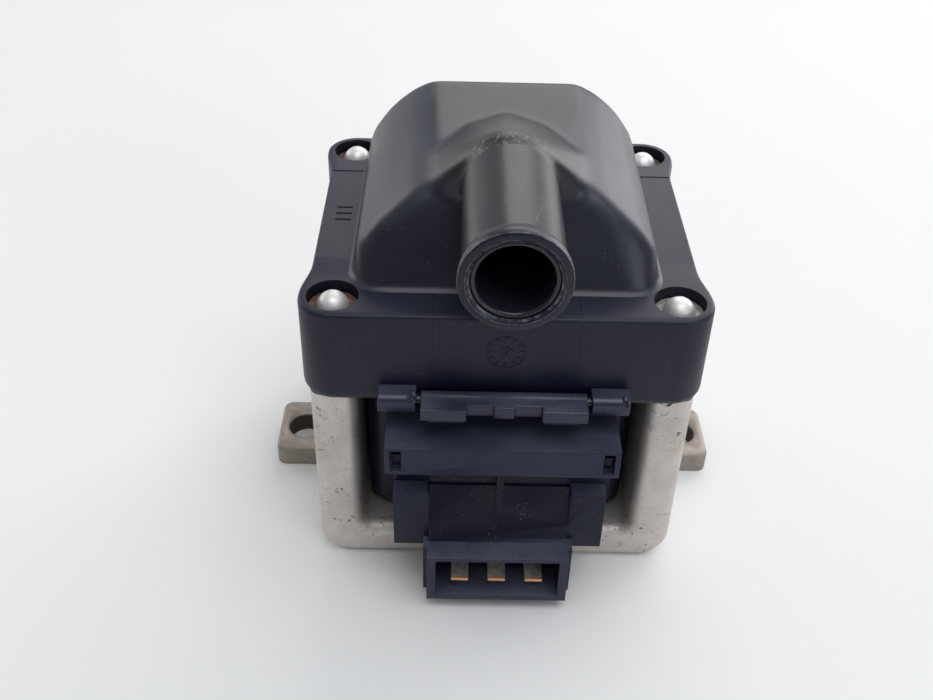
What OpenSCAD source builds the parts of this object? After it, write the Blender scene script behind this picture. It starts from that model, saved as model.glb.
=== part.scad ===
// Ignition coil with a built-in driver module: a cast U-shaped base carries a potted coil housing
// with a forward-pointing high-voltage tower, and a driver module with a three-blade socket.
// Frame: origin at the centre of the mounting face, +Z up, -Y towards the tower mouth and socket.

/* [Base frame] */
// Width of the cast base over its two side walls
base_w = 87; // [80:1:96]
// Depth of the cast base, front to back
base_d = 76; // [68:1:84]
// Height of the side walls, which is also the height of the flange underside
base_h = 52; // [46:1:60]
// Thickness of each side wall
leg_t = 10.5; // [8.5:0.5:12]
// Thickness of the base floor
floor_t = 9.4; // [7:0.2:11]
// Outer radius of the two lower edges
base_r = 7.5; // [6:0.5:14]
// Distance between the two mounting holes
hole_spacing = 104; // [100:1:112]
// Radius of each mounting hole
hole_r = 4.5; // [3.5:0.1:5.2]
// Thickness of the mounting ears
ear_t = 5.8; // [4:0.2:8]
// Length of each ear along the body
ear_l = 20; // [16:0.5:24]
// How far the ears sit behind the middle of the base
ear_y = 3.8; // [0:0.1:8]
// Metal left outside each mounting hole
ear_rim = 2.6; // [1.8:0.1:4]

/* [Housing flange] */
// Width of the flange across its corner bosses
flange_w = 90; // [84:1:98]
// Depth of the flange, front to back
flange_d = 81; // [76:1:88]
// Height of the flange
flange_h = 24; // [18:1:28]
// Radius of the four corner bosses
boss_r = 7.5; // [7:0.1:8.5]
// How far the long sides are set in between the bosses
waist = 1.8; // [1:0.1:2.6]
// Wall thickness of the moulded housing
wall = 3; // [2.4:0.1:3.4]

/* [Dome and tower] */
// Half width of the dome where it meets the flange
dome_hw = 33.6; // [31:0.2:35]
// Height of the flat top of the dome above the flange
dome_h = 23; // [20:0.5:24]
// Edge radius of the dome
dome_r = 5; // [4.6:0.1:5.6]
// Height of the tower axis above the flange
tower_up = 22; // [21:0.5:25]
// Outer radius of the tower tube
tower_r = 10.1; // [9.6:0.1:10.4]
// Radius of the lip at the tower mouth
lip_r = 11; // [10.6:0.1:11.4]
// How far the tower mouth stands in front of the flange
tower_reach = 19.2; // [14:0.2:24]
// Radius of the high-voltage socket in the tower
socket_r = 7.4; // [6.8:0.1:7.6]
// Depth of the high-voltage socket
socket_len = 25; // [20:0.5:28]

/* [Rivets] */
// Radius of the rivet heads
rivet_head_r = 3.6; // [3:0.1:4.2]
// Radius of the rivet shanks
rivet_r = 2.5; // [2:0.1:2.8]
// Depth of the recess round each rivet head
recess_t = 3.4; // [2.6:0.1:4.2]
// Radius of that recess
recess_r = 5.7; // [5:0.1:6.2]

/* [Core and windings] */
// Side of the square centre leg of the laminated core
core_a = 14; // [12:0.5:15]
// Width of the yoke and side legs of the core
yoke_w = 7; // [6:0.5:8]
// Overall width of the core
core_w = 54; // [50:1:56]
// Height of the core's lower face
core_z = 16; // [15:0.5:18]
// Overall height of the core
core_h = 60; // [54:1:62]
// Thickness of the magnet in the core gap
magnet_t = 1.6; // [1:0.1:2]
// Wall of the two bobbins
bobbin_t = 1; // [0.8:0.1:1.2]
// Thickness of the primary winding
primary_t = 1.8; // [1.4:0.1:2]
// Thickness of the secondary winding
secondary_t = 3.6; // [3:0.1:3.8]
// Number of chambers in the secondary bobbin
chambers = 8; // [6:1:10]

/* [Driver module] */
// Width of the module case
case_w = 49; // [45:1:52]
// Width of the module cover
cover_w = 52; // [50:1:55]
// Height of the top of the module cover
cover_z = 48; // [46:0.5:49]
// Height of the cover's front face
cover_h = 7.6; // [6.5:0.1:8]
// How far the cover stands in front of the flange
cover_out = 10.5; // [9:0.5:12]
// Width of each wing of the case front
wing_w = 8.3; // [7:0.1:8.8]
// Height of the top of the wings
wing_z = 31.7; // [29:0.1:33]
// Height of the bottom of the case
case_z = 14.8; // [14.4:0.1:15.2]

/* [Connector socket] */
// Outer width of the socket at its mouth
plug_w = 33.2; // [31:0.2:35]
// Outer height of the socket
plug_h = 14.2; // [13:0.2:15]
// Height of the underside of the socket
plug_z = 3.2; // [2:0.2:4]
// Distance from the flange front to the socket mouth
plug_out = 14.5; // [13.5:0.5:17]
// Side wall of the socket
plug_wall = 2.1; // [1.6:0.1:2.6]
// Depth of the socket
plug_depth = 9; // [7:0.2:10]
// Width of each terminal blade
blade_w = 4.2; // [3.4:0.1:4.8]
// Thickness of each terminal blade
blade_t = 0.8; // [0.6:0.1:1]
// Distance between neighbouring blades
blade_pitch = 8.8; // [8:0.1:9.2]

/* [Keeper flap] */
// Half width of the keeper flap
flap_hw = 18.2; // [16:0.2:18.6]
// Length of the flap in front of its pin
flap_len = 5.6; // [5:0.1:6.4]
// Thickness of the flap
flap_t = 3.1; // [2.6:0.1:3.4]
// Radius of the flap's pin
pin_r = 1; // [0.8:0.05:1.2]
// Radius of the flap's knuckle
knuckle_r = 1.95; // [1.8:0.05:2]
// Height of the pin above the flange underside
pin_up = 3.4; // [3:0.1:4]

/* [Fits] */
// Gap between parts that touch
gap = 0.15; // [0.1:0.05:0.3]
// Radial running clearance of the flap on its pin
run_gap = 0.1; // [0.06:0.02:0.2]

/* [Hidden] */
$fn = 64;
e = 0.01;
// Overshoot of a cutting shape past the face that it cuts.
cut = 1;

// Base details: inner fillet, ear corners, chamfer round each mounting hole, screw holes.
inner_r = 3;
ear_r = 2.2;
chamfer = 0.8;
screw_r = 1.5;
screw_head_r = 2.8;
screw_head_t = 1.9;
screw_sink = 0.5;
screw_grip = 3;
screw_play = 0.2;
head_play = 0.3;
hex_r = 1.3;
hex_t = 1.2;
rivet_blind = 10;
rivet_play = 0.05;

// Housing: places of the rivets, the skirt, the dome and the tower.
flange_z = base_h + flange_h;
front_y = -flange_d / 2;
rivet_x = flange_w / 2 - boss_r;
rivet_y = flange_d / 2 - boss_r;
waist_in = 18;
waist_turn = 2.5;
skirt_play = 1.5;
skirt_lift = 2.6;
skirt_front = 8;
skirt_back = 4;
skirt_r = 4;
skirt_hw = base_w / 2 - leg_t - skirt_play;
skirt_z = floor_t + skirt_lift;
skirt_y0 = skirt_front - base_d / 2;
skirt_y1 = base_d / 2 - skirt_back;
skirt_thin = 0.5;
cavity_r = 3;
dome_in = 10;
dome_y0 = front_y + dome_in;
dome_y1 = flange_d / 2 - dome_in;
dome_z = flange_z + dome_h;
dome_post_r = 6.5;
dome_sink = 5;
// Balls of one side of the dome's skin: in from the side, place along Y, down from the top.
dome_balls = [
    [5.3, dome_y0 + 9, 18.8], [11, dome_y0 + 11, 13.2], [19.6, dome_y0 + 14.6, 7.2],
    [5.1, dome_y1 - 5.6, 18.5], [7.6, dome_y1 - 5.8, 13.2], [11.3, dome_y1 - 6, 8.9],
    [17.1, dome_y1 - 6.4, 5]];
tower_z = flange_z + tower_up;
mouth_y = front_y - tower_reach;
lip_t = 1.2;
lip_cone = 2;
lip_chamfer = 1.6;
sleeve_wall = 1.1;
sleeve_in = 0.8;
sleeve_r = socket_r + sleeve_wall;
sleeve_y0 = mouth_y + sleeve_in;
sleeve_y1 = sleeve_y0 + 0.5 + socket_len;
throat_r = 4.6;
throat_l = 9;
// Tent that carries the tower: ring over the tube, then balls at in from middle, Y and down.
tent_step = 0.3;
tent_y = dome_y0 + 12.6;
tent_t = 3.6;
tent_ball = 1.4;
tent_top_y = dome_y0 + 39;
tent_balls = [[8.5, dome_y0 + 33.5, 1.6], [17, dome_y0 + 25, 2.4]];

// High-voltage contact and its lead.
stud_r = 2;
contact_r = 3.4;
contact_t = 2.8;
contact_in = 6;
hv_y = dome_y0 + 14.6;
hv_r = 1;
hv_well_r = 2.6;

// Rivet heads and washers.
washer_t = 0.7;
washer_play = 0.25;
head_rim = 0.7;
head_drop = 1.2;

// Core and windings, from the inside out.
core_y = core_a / 2;
win_z0 = core_z + yoke_w;
win_z1 = core_z + core_h - yoke_w;
coil_play = 0.3;
pb_in = core_a / 2 + coil_play;
pb_out = pb_in + bobbin_t;
pw_out = pb_out + primary_t;
sb_in = pw_out + coil_play + 0.1;
sb_out = sb_in + bobbin_t;
sw_out = sb_out + secondary_t;
rim_out = sw_out + 0.6;
rim_t = 1.2;
bob_z0 = win_z0 + coil_play + 0.1;
bob_z1 = win_z1 - coil_play - 0.1;
wire_play = 0.1;
resin_play = 0.2;

// Primary leads: half width, half thickness, and the places where they turn.
lead_x = 19.5;
lead_z = 36;
lead_hw = 0.8;
lead_ht = 0.4;
lead_in_x = 10;
lead_back_y = -19.5;
lead_foot_z = win_z0 - 2;

// Driver module: plate, pads and board stand one behind the other.
plate_y = skirt_y0 - 1.2;
plate_t = 2.4;
plate_hw = 17;
plate_z = 44;
foot_hw = 21;
foot_y = 3;
pad_t = 0.7;
pad_hw = 16;
pad_z = [20, 38];
pad_play = 0.1;
board_t = 0.8;
board_hw = 21.4;
board_z = [19, 39];
board_y = plate_y - plate_t - pad_t - 2 * pad_play;
chip_hw = 5.2;
chip_t = 2.6;
chip_z = [26, 36];
capacitor_x = 12;
capacitor_hw = 2.5;
capacitor_t = 2;
capacitor_z = [29, 34];

// Module case and cover.
case_y0 = front_y - 3.5;
case_play = 0.4;
case_y1 = plate_y - plate_t - case_play;
case_wall = 2;
case_floor = 3;
case_top = cover_z - 2.7;
wing_y = case_y0 - 4;
channel_y = wing_y - 1.6;
channel_lip = 0.6;
rib_hw = 0.8;
rib_out = 3;
arm_t = 2;
arm_in = 1.7;
arm_z = [6.4, 3.2];
cover_y = front_y - cover_out;
cover_top = 2.4;
cover_front = 2;
cover_side = 1.1;
window_x = [1.2, 3.7];
window_z = [6.9, 0.8];

// Socket and blades.
plug_y = front_y - plug_out;
plug_top = plug_z + plug_h;
plug_base = 1.5;
plug_roof = 1;
plug_floor = plug_z + plug_base;
collar_out = 0.9;
collar_y = plug_y + 3.4;
module_back = -base_d / 2 - 0.4;
foot_x = 9;
foot_half = 2;
foot_t = 0.7;
foot_in = 0.6;
blade_z = plug_z + 4.3;
blade_tip = plug_y + 2;
blade_up = 22;
blade_y = case_y0 + 3.6;
blade_play = 0.1;

// Keeper flap, its pin, hinge blocks and rest ledges.
flap_back = 0.35;
pin_y = front_y - knuckle_r - flap_back;
pin_z = base_h + pin_up;
pin_l = 52;
pin_play = 0.05;
stub_gap = 1;
stub_l = 8.4;
stub_x0 = flap_hw + stub_gap;
stub_out = 4.6;
stub_half = 2.1;
ledge_x = 12.7;
ledge_hw = 4;
ledge_out = 4;
ledge_play = 0.2;
notch_x = [2.3, 8.2];
notch_in = 2;
tongue_in = 1.2;

screw_x = 16;
screw_y = -base_d / 2 + 3.4;

// ---- shared shapes ----

// Rectangle with rounded corners, drawn about the origin.
module rounded_rect(w, d, r) {
    square([w - 2 * r, d], center = true);
    square([w, d - 2 * r], center = true);
    for (sx = [-1, 1]) {
        for (sy = [-1, 1]) {
            translate([sx * (w / 2 - r), sy * (d / 2 - r)]) circle(r);
        }
    }
}

// Flat box given by its low and high corners.
module block(a, b) {
    translate(a) cube([b[0] - a[0], b[1] - a[1], b[2] - a[2]]);
}

// Box on side s that runs from x0 to x1 away from the middle.
module side_block(s, x0, x1, y, z) {
    block([min(s * x0, s * x1), y[0], z[0]], [max(s * x0, s * x1), y[1], z[1]]);
}

// Cylinder that runs to the front from a point at depth y1 to depth y0.
module rod_y(x, z, r, y0, y1) {
    translate([x, y1, z]) rotate([90, 0, 0]) cylinder(r = r, h = y1 - y0);
}

// Cylinder along X, centred on the middle.
module rod_x(y, z, r, l) {
    translate([-l / 2, y, z]) rotate([0, 90, 0]) cylinder(r = r, h = l, $fn = 48);
}

// The four rivet places.
module at_rivets() {
    for (sx = [-1, 1]) {
        for (sy = [-1, 1]) {
            translate([sx * rivet_x, sy * rivet_y, 0]) children();
        }
    }
}

// Plan outline of the flange with its corner bosses and waisted long sides.
module flange_outline() {
    hw = flange_w / 2;
    hd = flange_d / 2;
    square([2 * rivet_x, flange_d], center = true);
    square([flange_w - 2 * waist, 2 * rivet_y], center = true);
    for (sx = [-1, 1]) {
        for (sy = [-1, 1]) {
            scale([sx, sy]) polygon([
                [hw - waist - cut, hd - waist_in], [hw - waist, hd - waist_in],
                [hw, hd - boss_r - waist_turn], [hw, hd - boss_r], [hw - waist - cut, hd - boss_r]]);
        }
    }
    at_rivets() circle(boss_r);
}

// Outline of the skirt, grown by g.
module skirt_outline(g) {
    translate([0, (skirt_y0 + skirt_y1) / 2])
        rounded_rect(2 * (skirt_hw + g), skirt_y1 - skirt_y0 + 2 * g, skirt_r);
}

// Rounded dome body; inset shrinks every edge radius and leaves a wall of that thickness.
module dome_body(inset) {
    hull() {
        for (s = [-1, 1]) {
            for (y = [dome_y0 + dome_post_r, dome_y1 - dome_post_r]) {
                translate([s * (dome_hw - dome_post_r), y, flange_z - dome_sink])
                    cylinder(r = dome_post_r - inset, h = dome_sink + cut, $fn = 32);
            }
            for (ball = dome_balls) {
                translate([s * (dome_hw - ball[0]), ball[1], dome_z - ball[2]])
                    sphere(dome_r - inset, $fn = 28);
            }
        }
    }
}

// Tapered tent that carries the tower out of the top of the dome.
module tower_tent() {
    hull() {
        rod_y(0, tower_z, tower_r + tent_step, tent_y - tent_t, tent_y);
        translate([0, tent_top_y, dome_z - tent_balls[0][2]]) sphere(tent_ball, $fn = 24);
        for (s = [-1, 1]) {
            for (ball = tent_balls) {
                translate([s * ball[0], ball[1], dome_z - ball[2]]) sphere(tent_ball, $fn = 24);
            }
            translate([s * (dome_hw - dome_balls[2][0]), dome_balls[2][1], dome_z - dome_balls[2][2]])
                sphere(dome_r, $fn = 28);
        }
    }
}

// Path of one primary lead, from the board back to the primary bobbin, grown by g.
module lead_path(s, g) {
    y0 = g > 0 ? skirt_y0 - cut : board_y;
    out = [lead_x - lead_hw - g, lead_x + lead_hw + g];
    in = [lead_in_x - lead_hw - g, lead_in_x + lead_hw + g];
    drop = [lead_foot_z - lead_hw - g, lead_foot_z + g];
    back = [lead_back_y - lead_hw - g, lead_back_y + g];
    side_block(s, out[0], out[1], [y0, back[1]], [lead_z - lead_ht - g, lead_z + lead_ht + g]);
    side_block(s, out[0], out[1], back, [drop[0], lead_z]);
    side_block(s, in[0], out[1], back, drop);
    side_block(s, in[0], in[1], [back[0], -rim_out + 2], drop);
    side_block(s, in[0], in[1], [-rim_out - 1 - lead_hw - g, -rim_out - 1 + g], [drop[0], bob_z0 + 0.6]);
}

// Potted volume inside the housing, shrunk by g on every side.
module housing_cavity(g) {
    z0 = g > 0 ? skirt_z : skirt_z - cut;
    side = wall - skirt_thin + g;
    translate([0, (skirt_y0 + skirt_y1) / 2, z0]) linear_extrude(flange_z - wall - z0 + cut)
        rounded_rect(2 * (skirt_hw - side), skirt_y1 - skirt_y0 - 2 * side, cavity_r);
    difference() {
        translate([0, 0, base_h + wall + g]) linear_extrude(flange_h - 2 * (wall + g))
            rounded_rect(flange_w - 2 * (waist + wall + g), flange_d - 2 * (wall + g), cavity_r);
        at_rivets() translate([0, 0, base_h]) cylinder(r = boss_r + skirt_thin + g, h = flange_h);
    }
    dome_body(wall + g);
}

// ---- nodes ----

// Cast base: floor, two side walls, two drilled ears and four blind rivet holes.
module base_frame() {
    hw = base_w / 2;
    inner = hw - leg_t;
    color([0.64, 0.61, 0.58])
    difference() {
        union() {
            translate([0, base_d / 2, 0]) rotate([90, 0, 0]) linear_extrude(base_d) {
                difference() {
                    union() {
                        translate([-hw, base_r]) square([base_w, base_h - base_r]);
                        translate([-hw + base_r, 0]) square([base_w - 2 * base_r, base_h]);
                        for (s = [-1, 1]) {
                            translate([s * (hw - base_r), base_r]) circle(base_r);
                        }
                    }
                    translate([-inner, floor_t + inner_r]) square([2 * inner, base_h]);
                    translate([-inner + inner_r, floor_t]) square([2 * (inner - inner_r), base_h]);
                    for (s = [-1, 1]) {
                        translate([s * (inner - inner_r), floor_t + inner_r]) circle(inner_r);
                    }
                }
            }
            translate([0, ear_y, 0]) linear_extrude(ear_t)
                rounded_rect(hole_spacing + 2 * (hole_r + ear_rim), ear_l, ear_r);
        }
        for (s = [-1, 1]) {
            translate([s * hole_spacing / 2, ear_y, -cut]) cylinder(r = hole_r, h = ear_t + 2 * cut);
            translate([s * hole_spacing / 2, ear_y, ear_t - chamfer])
                cylinder(r1 = hole_r, r2 = hole_r + chamfer, h = chamfer + e);
            translate([s * screw_x, screw_y, -cut]) cylinder(r = screw_r + screw_play, h = floor_t + 2 * cut);
            translate([s * screw_x, screw_y, -cut])
                cylinder(r = screw_head_r + head_play, h = cut + screw_sink + screw_head_t);
        }
        at_rivets() translate([0, 0, base_h - rivet_blind])
            cylinder(r = rivet_r + rivet_play, h = rivet_blind + cut);
    }
}

// Moulded housing: flange, dome, tent and tower, hollow and open below for the skirt.
module coil_housing() {
    cone_y = mouth_y + 2 * lip_t + lip_cone;
    color([0.09, 0.09, 0.11])
    difference() {
        union() {
            translate([0, 0, base_h]) linear_extrude(flange_h) flange_outline();
            dome_body(0);
            tower_tent();
            rod_y(0, tower_z, tower_r, mouth_y + lip_t, dome_y0 + dome_in + lip_cone);
            translate([0, cone_y, tower_z]) rotate([90, 0, 0]) cylinder(r1 = tower_r, r2 = lip_r, h = lip_cone);
            rod_y(0, tower_z, lip_r, mouth_y + lip_t, mouth_y + 2 * lip_t);
            translate([0, mouth_y + lip_t, tower_z]) rotate([90, 0, 0])
                cylinder(r1 = lip_r, r2 = lip_r - lip_chamfer, h = lip_t);
            for (s = [-1, 1]) {
                side_block(s, stub_x0, stub_x0 + stub_l, [front_y - stub_out, front_y + cut],
                    [pin_z - stub_half, pin_z + stub_half]);
                side_block(s, ledge_x - ledge_hw, ledge_x + ledge_hw, [pin_y - ledge_out, front_y + cut],
                    [base_h, pin_z - knuckle_r - ledge_play]);
                side_block(s, ledge_x - ledge_hw, ledge_x + ledge_hw,
                    [pin_y - ledge_out, pin_y - knuckle_r - ledge_play], [base_h, pin_z - flap_t / 2]);
            }
        }
        housing_cavity(0);
        translate([0, 0, base_h - cut]) linear_extrude(wall + cut + e) skirt_outline(rivet_play);
        rod_y(0, tower_z, sleeve_r + rivet_play, mouth_y - cut, sleeve_y1);
        rod_y(0, tower_z, throat_r, mouth_y, sleeve_y1 + throat_l);
        rod_y(0, tower_z, stud_r + rivet_play, mouth_y, hv_y + contact_t);
        translate([0, hv_y, dome_z - dome_in - 2]) cylinder(r = hv_well_r, h = tower_z - dome_z + dome_in + 5);
        at_rivets() translate([0, 0, base_h - cut]) cylinder(r = rivet_r + rivet_play, h = flange_h + 2 * cut);
        at_rivets() translate([0, 0, flange_z - recess_t]) cylinder(r = recess_r, h = recess_t + cut);
        rod_x(pin_y, pin_z, pin_r + pin_play, pin_l + 4 * pin_play);
    }
}

// Lower wall of the housing: a tube that hangs between the side walls and holds the resin.
module housing_skirt() {
    slot_w = lead_hw + resin_play;
    slot_h = lead_ht + resin_play;
    color([0.1, 0.1, 0.12])
    difference() {
        translate([0, 0, skirt_z]) linear_extrude(base_h + wall - skirt_z) skirt_outline(0);
        housing_cavity(0);
        for (s = [-1, 1]) {
            side_block(s, lead_x - slot_w, lead_x + slot_w, [skirt_y0 - cut, skirt_y0 + wall + cut],
                [lead_z - slot_h, lead_z + slot_h]);
        }
    }
}

// Insulating liner of the tower, the inner ring seen at the mouth.
module tower_sleeve() {
    color([0.16, 0.16, 0.18])
    difference() {
        rod_y(0, tower_z, sleeve_r, sleeve_y0, sleeve_y1 - 0.1);
        rod_y(0, tower_z, socket_r, sleeve_y0 - cut, sleeve_y1 + cut);
    }
}

// Stepped brass contact at the bottom of the tower.
module hv_terminal() {
    color([0.78, 0.62, 0.3]) {
        rod_y(0, tower_z, stud_r, sleeve_y1 + 0.6, hv_y - resin_play);
        rod_y(0, tower_z, contact_r, sleeve_y1 + contact_in, sleeve_y1 + contact_in + contact_t);
    }
}

// Upright conductor from the secondary winding to the brass contact.
module hv_lead() {
    z0 = bob_z1 + rim_t / 2;
    color([0.8, 0.45, 0.25])
    translate([0, hv_y + hv_r, z0]) cylinder(r = hv_r, h = tower_z + hv_r - z0, $fn = 32);
}

// Four domed drive rivets that hold the housing on the base.
module corner_rivets() {
    seat = flange_z - recess_t + washer_t;
    foot = base_h - rivet_blind + cut;
    color([0.8, 0.8, 0.8])
    at_rivets() {
        translate([0, 0, foot]) cylinder(r = rivet_r, h = seat - foot + e);
        translate([0, 0, seat]) cylinder(r = rivet_head_r, h = head_rim);
        translate([0, 0, seat + head_rim]) intersection() {
            translate([0, 0, -head_drop]) sphere(sqrt(rivet_head_r * rivet_head_r + head_drop * head_drop));
            cylinder(r = rivet_head_r, h = rivet_head_r);
        }
    }
}

// Four flat steel washers under the rivet heads.
module rivet_washers() {
    color([0.5, 0.42, 0.35])
    at_rivets() translate([0, 0, flange_z - recess_t]) difference() {
        cylinder(r = recess_r - washer_play, h = washer_t);
        translate([0, 0, -cut]) cylinder(r = rivet_r + 2 * rivet_play, h = washer_t + 2 * cut);
    }
}

// Soft pad between the potted housing and the base floor.
module base_pad() {
    color([0.2, 0.2, 0.2])
    translate([0, (skirt_y0 + skirt_y1) / 2, floor_t]) linear_extrude(skirt_z - floor_t)
        rounded_rect(2 * (skirt_hw - 2), skirt_y1 - skirt_y0 - 1, skirt_r);
}

// E-shaped part of the laminated core: back yoke on top, centre leg and two side legs.
module core_stack() {
    hw = core_w / 2;
    color([0.42, 0.43, 0.46])
    difference() {
        block([-hw, -core_y, win_z0 + gap], [hw, core_y, core_z + core_h]);
        for (s = [-1, 1]) {
            side_block(s, core_a / 2, hw - yoke_w, [-core_y - cut, core_y + cut], [win_z0 - cut, win_z1]);
        }
        block([-core_a / 2 - cut, -core_y - cut, win_z0 - cut],
            [core_a / 2 + cut, core_y + cut, win_z0 + magnet_t + gap]);
    }
}

// Closing bar of the core.
module core_yoke() {
    color([0.45, 0.46, 0.49]) block([-core_w / 2, -core_y, core_z], [core_w / 2, core_y, win_z0]);
}

// Bias magnet that fills the gap under the centre leg.
module gap_magnet() {
    half = core_y - coil_play;
    color([0.25, 0.25, 0.27]) block([-half, -half, win_z0], [half, half, win_z0 + magnet_t]);
}

// Square ring with rounded outer and inner corners, from half size a to half size b.
module winding_ring(a, b, z0, z1, r) {
    translate([0, 0, z0]) difference() {
        linear_extrude(z1 - z0) rounded_rect(2 * b, 2 * b, r);
        translate([0, 0, -cut]) linear_extrude(z1 - z0 + 2 * cut) rounded_rect(2 * a, 2 * a, 2);
    }
}

// Bobbin of the primary winding, with a rim at each end.
module primary_bobbin() {
    color([0.85, 0.82, 0.74])
    difference() {
        translate([0, 0, bob_z0]) union() {
            linear_extrude(bob_z1 - bob_z0) rounded_rect(2 * pb_out, 2 * pb_out, 2);
            linear_extrude(rim_t) rounded_rect(2 * pw_out, 2 * pw_out, 2);
            translate([0, 0, bob_z1 - bob_z0 - rim_t]) linear_extrude(rim_t)
                rounded_rect(2 * pw_out, 2 * pw_out, 2);
        }
        translate([0, 0, bob_z0 - cut]) linear_extrude(core_h) square(2 * pb_in, center = true);
    }
}

// Primary winding: a few hundred turns of thick enamelled wire, drawn as one band.
module primary_winding() {
    color([0.72, 0.36, 0.16])
    winding_ring(pb_out, pw_out - wire_play, bob_z0 + rim_t + wire_play, bob_z1 - rim_t - wire_play, 2.6);
}

// Chambered bobbin of the secondary winding.
module secondary_bobbin() {
    h = bob_z1 - bob_z0;
    step = (h - rim_t) / chambers;
    color([0.9, 0.88, 0.8])
    difference() {
        union() {
            translate([0, 0, bob_z0]) linear_extrude(h) rounded_rect(2 * sb_out, 2 * sb_out, 3);
            for (i = [0 : chambers]) {
                translate([0, 0, bob_z0 + i * step]) linear_extrude(rim_t)
                    rounded_rect(2 * rim_out, 2 * rim_out, 4);
            }
        }
        translate([0, 0, bob_z0 - cut]) linear_extrude(h + 2 * cut) rounded_rect(2 * sb_in, 2 * sb_in, 2);
    }
}

// Secondary winding: one coil of fine wire in each chamber.
module secondary_winding() {
    step = (bob_z1 - bob_z0 - rim_t) / chambers;
    color([0.66, 0.3, 0.12])
    for (i = [0 : chambers - 1]) {
        winding_ring(sb_out, sw_out, bob_z0 + i * step + rim_t + wire_play,
            bob_z0 + (i + 1) * step - wire_play, 3.4);
    }
}

// Cast resin that fills the housing round the core and windings.
module potting_compound() {
    hw = core_w / 2 + resin_play;
    hy = core_y + resin_play;
    coil = 2 * (rim_out + coil_play);
    color([0.13, 0.12, 0.12])
    difference() {
        housing_cavity(resin_play);
        block([-hw, -hy, core_z - resin_play], [hw, hy, core_z + core_h + resin_play]);
        translate([0, 0, win_z0]) linear_extrude(win_z1 - win_z0) rounded_rect(coil, coil, 4);
        lead_path(1, resin_play);
        lead_path(-1, resin_play);
        translate([0, hv_y + hv_r, bob_z1]) cylinder(r = hv_r + coil_play, h = dome_z);
    }
}

// Two flat copper leads from the module to the primary winding.
module primary_leads() {
    color([0.75, 0.4, 0.2]) {
        lead_path(1, 0);
        lead_path(-1, 0);
    }
}

// Module case with its two wings, the sloping channel between them and the three-way socket.
module module_case() {
    hw = case_w / 2;
    pw = plug_w / 2;
    slit = blade_w / 2 + blade_play;
    lip = case_y0 + cut;
    color([0.08, 0.08, 0.1])
    difference() {
        union() {
            block([-hw, case_y0, case_z], [hw, case_y1, case_top]);
            for (s = [-1, 1]) {
                side_block(s, hw - wing_w, hw, [wing_y, lip], [case_z, wing_z]);
                side_block(s, hw - arm_t, hw - 0.1, [cover_y + arm_in, lip],
                    [cover_z - arm_z[0], cover_z - arm_z[1]]);
            }
            translate([-hw + wing_w - e, 0, 0]) rotate([90, 0, 90]) linear_extrude(case_w - 2 * wing_w + 2 * e)
                polygon([[lip, case_z], [channel_y, case_z], [channel_y, plug_top],
                    [case_y0 - channel_lip, wing_z - channel_lip], [lip, wing_z - channel_lip]]);
            block([-rib_hw, case_y0 - rib_out, plug_top], [rib_hw, lip, cover_z - cover_h]);
            block([-pw, plug_y, plug_z], [pw, module_back, plug_top]);
            block([-pw - collar_out, collar_y, plug_z], [pw + collar_out, module_back, plug_top]);
            for (s = [-1, 1]) {
                side_block(s, foot_x - foot_half, foot_x + foot_half, [plug_y + foot_in, module_back],
                    [plug_z - foot_t, plug_z + cut]);
            }
        }
        block([-pw + plug_wall, plug_y - cut, plug_floor],
            [pw - plug_wall, plug_y + plug_depth, plug_top - plug_roof]);
        block([-hw + case_wall, case_y0 + case_wall, case_z + case_floor],
            [hw - case_wall, case_y1 + cut, case_top - case_wall]);
        for (x = [-blade_pitch, 0, blade_pitch]) {
            block([x - slit, plug_y + cut, blade_z - blade_play],
                [x + slit, blade_y + 2 * blade_play, blade_z + blade_t + blade_play]);
            block([x - slit, blade_y - blade_t - 2 * blade_play, blade_z - blade_play],
                [x + slit, blade_y + 2 * blade_play, case_z + case_floor + cut]);
        }
    }
}

// Hood over the module with two snap windows in its front face.
module module_cover() {
    hw = cover_w / 2;
    low = cover_z - cover_h;
    color([0.1, 0.1, 0.12])
    difference() {
        union() {
            block([-hw, cover_y, cover_z - cover_top], [hw, case_y1, cover_z]);
            block([-hw, cover_y, low], [hw, cover_y + cover_front, cover_z]);
            for (s = [-1, 1]) {
                side_block(s, hw - cover_side, hw, [cover_y, case_y1], [low, cover_z]);
            }
        }
        for (s = [-1, 1]) {
            side_block(s, hw - window_x[1], hw - window_x[0], [cover_y - cut, cover_y + cover_front + cut],
                [cover_z - window_z[0], cover_z - window_z[1]]);
        }
    }
}

// Aluminium plate with a foot that takes the module's heat down to the base.
module heat_spreader() {
    color([0.7, 0.7, 0.72])
    difference() {
        union() {
            block([-plate_hw, plate_y - plate_t, floor_t], [plate_hw, plate_y, plate_z]);
            block([-foot_hw, screw_y - foot_y, floor_t], [foot_hw, plate_y, case_z - 0.5]);
        }
        for (s = [-1, 1]) {
            translate([s * screw_x, screw_y, floor_t - cut])
                cylinder(r = screw_r + rivet_play, h = screw_grip + 2 * cut);
        }
    }
}

// Thin pad between the board and the heat plate.
module thermal_pad() {
    y1 = plate_y - plate_t - pad_play / 2;
    color([0.75, 0.78, 0.8]) block([-pad_hw, y1 - pad_t, pad_z[0]], [pad_hw, y1, pad_z[1]]);
}

// Ceramic driver board.
module circuit_board() {
    color([0.85, 0.85, 0.82])
    block([-board_hw, board_y - board_t, board_z[0]], [board_hw, board_y, board_z[1]]);
}

// Power transistor on the board.
module power_transistor() {
    y1 = board_y - board_t;
    color([0.12, 0.12, 0.12]) block([-chip_hw, y1 - chip_t, chip_z[0]], [chip_hw, y1, chip_z[1]]);
}

// Two small capacitors on the board.
module board_capacitors() {
    y1 = board_y - board_t;
    color([0.55, 0.45, 0.3])
    for (s = [-1, 1]) {
        side_block(s, capacitor_x - capacitor_hw, capacitor_x + capacitor_hw, [y1 - capacitor_t, y1],
            capacitor_z);
    }
}

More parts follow.
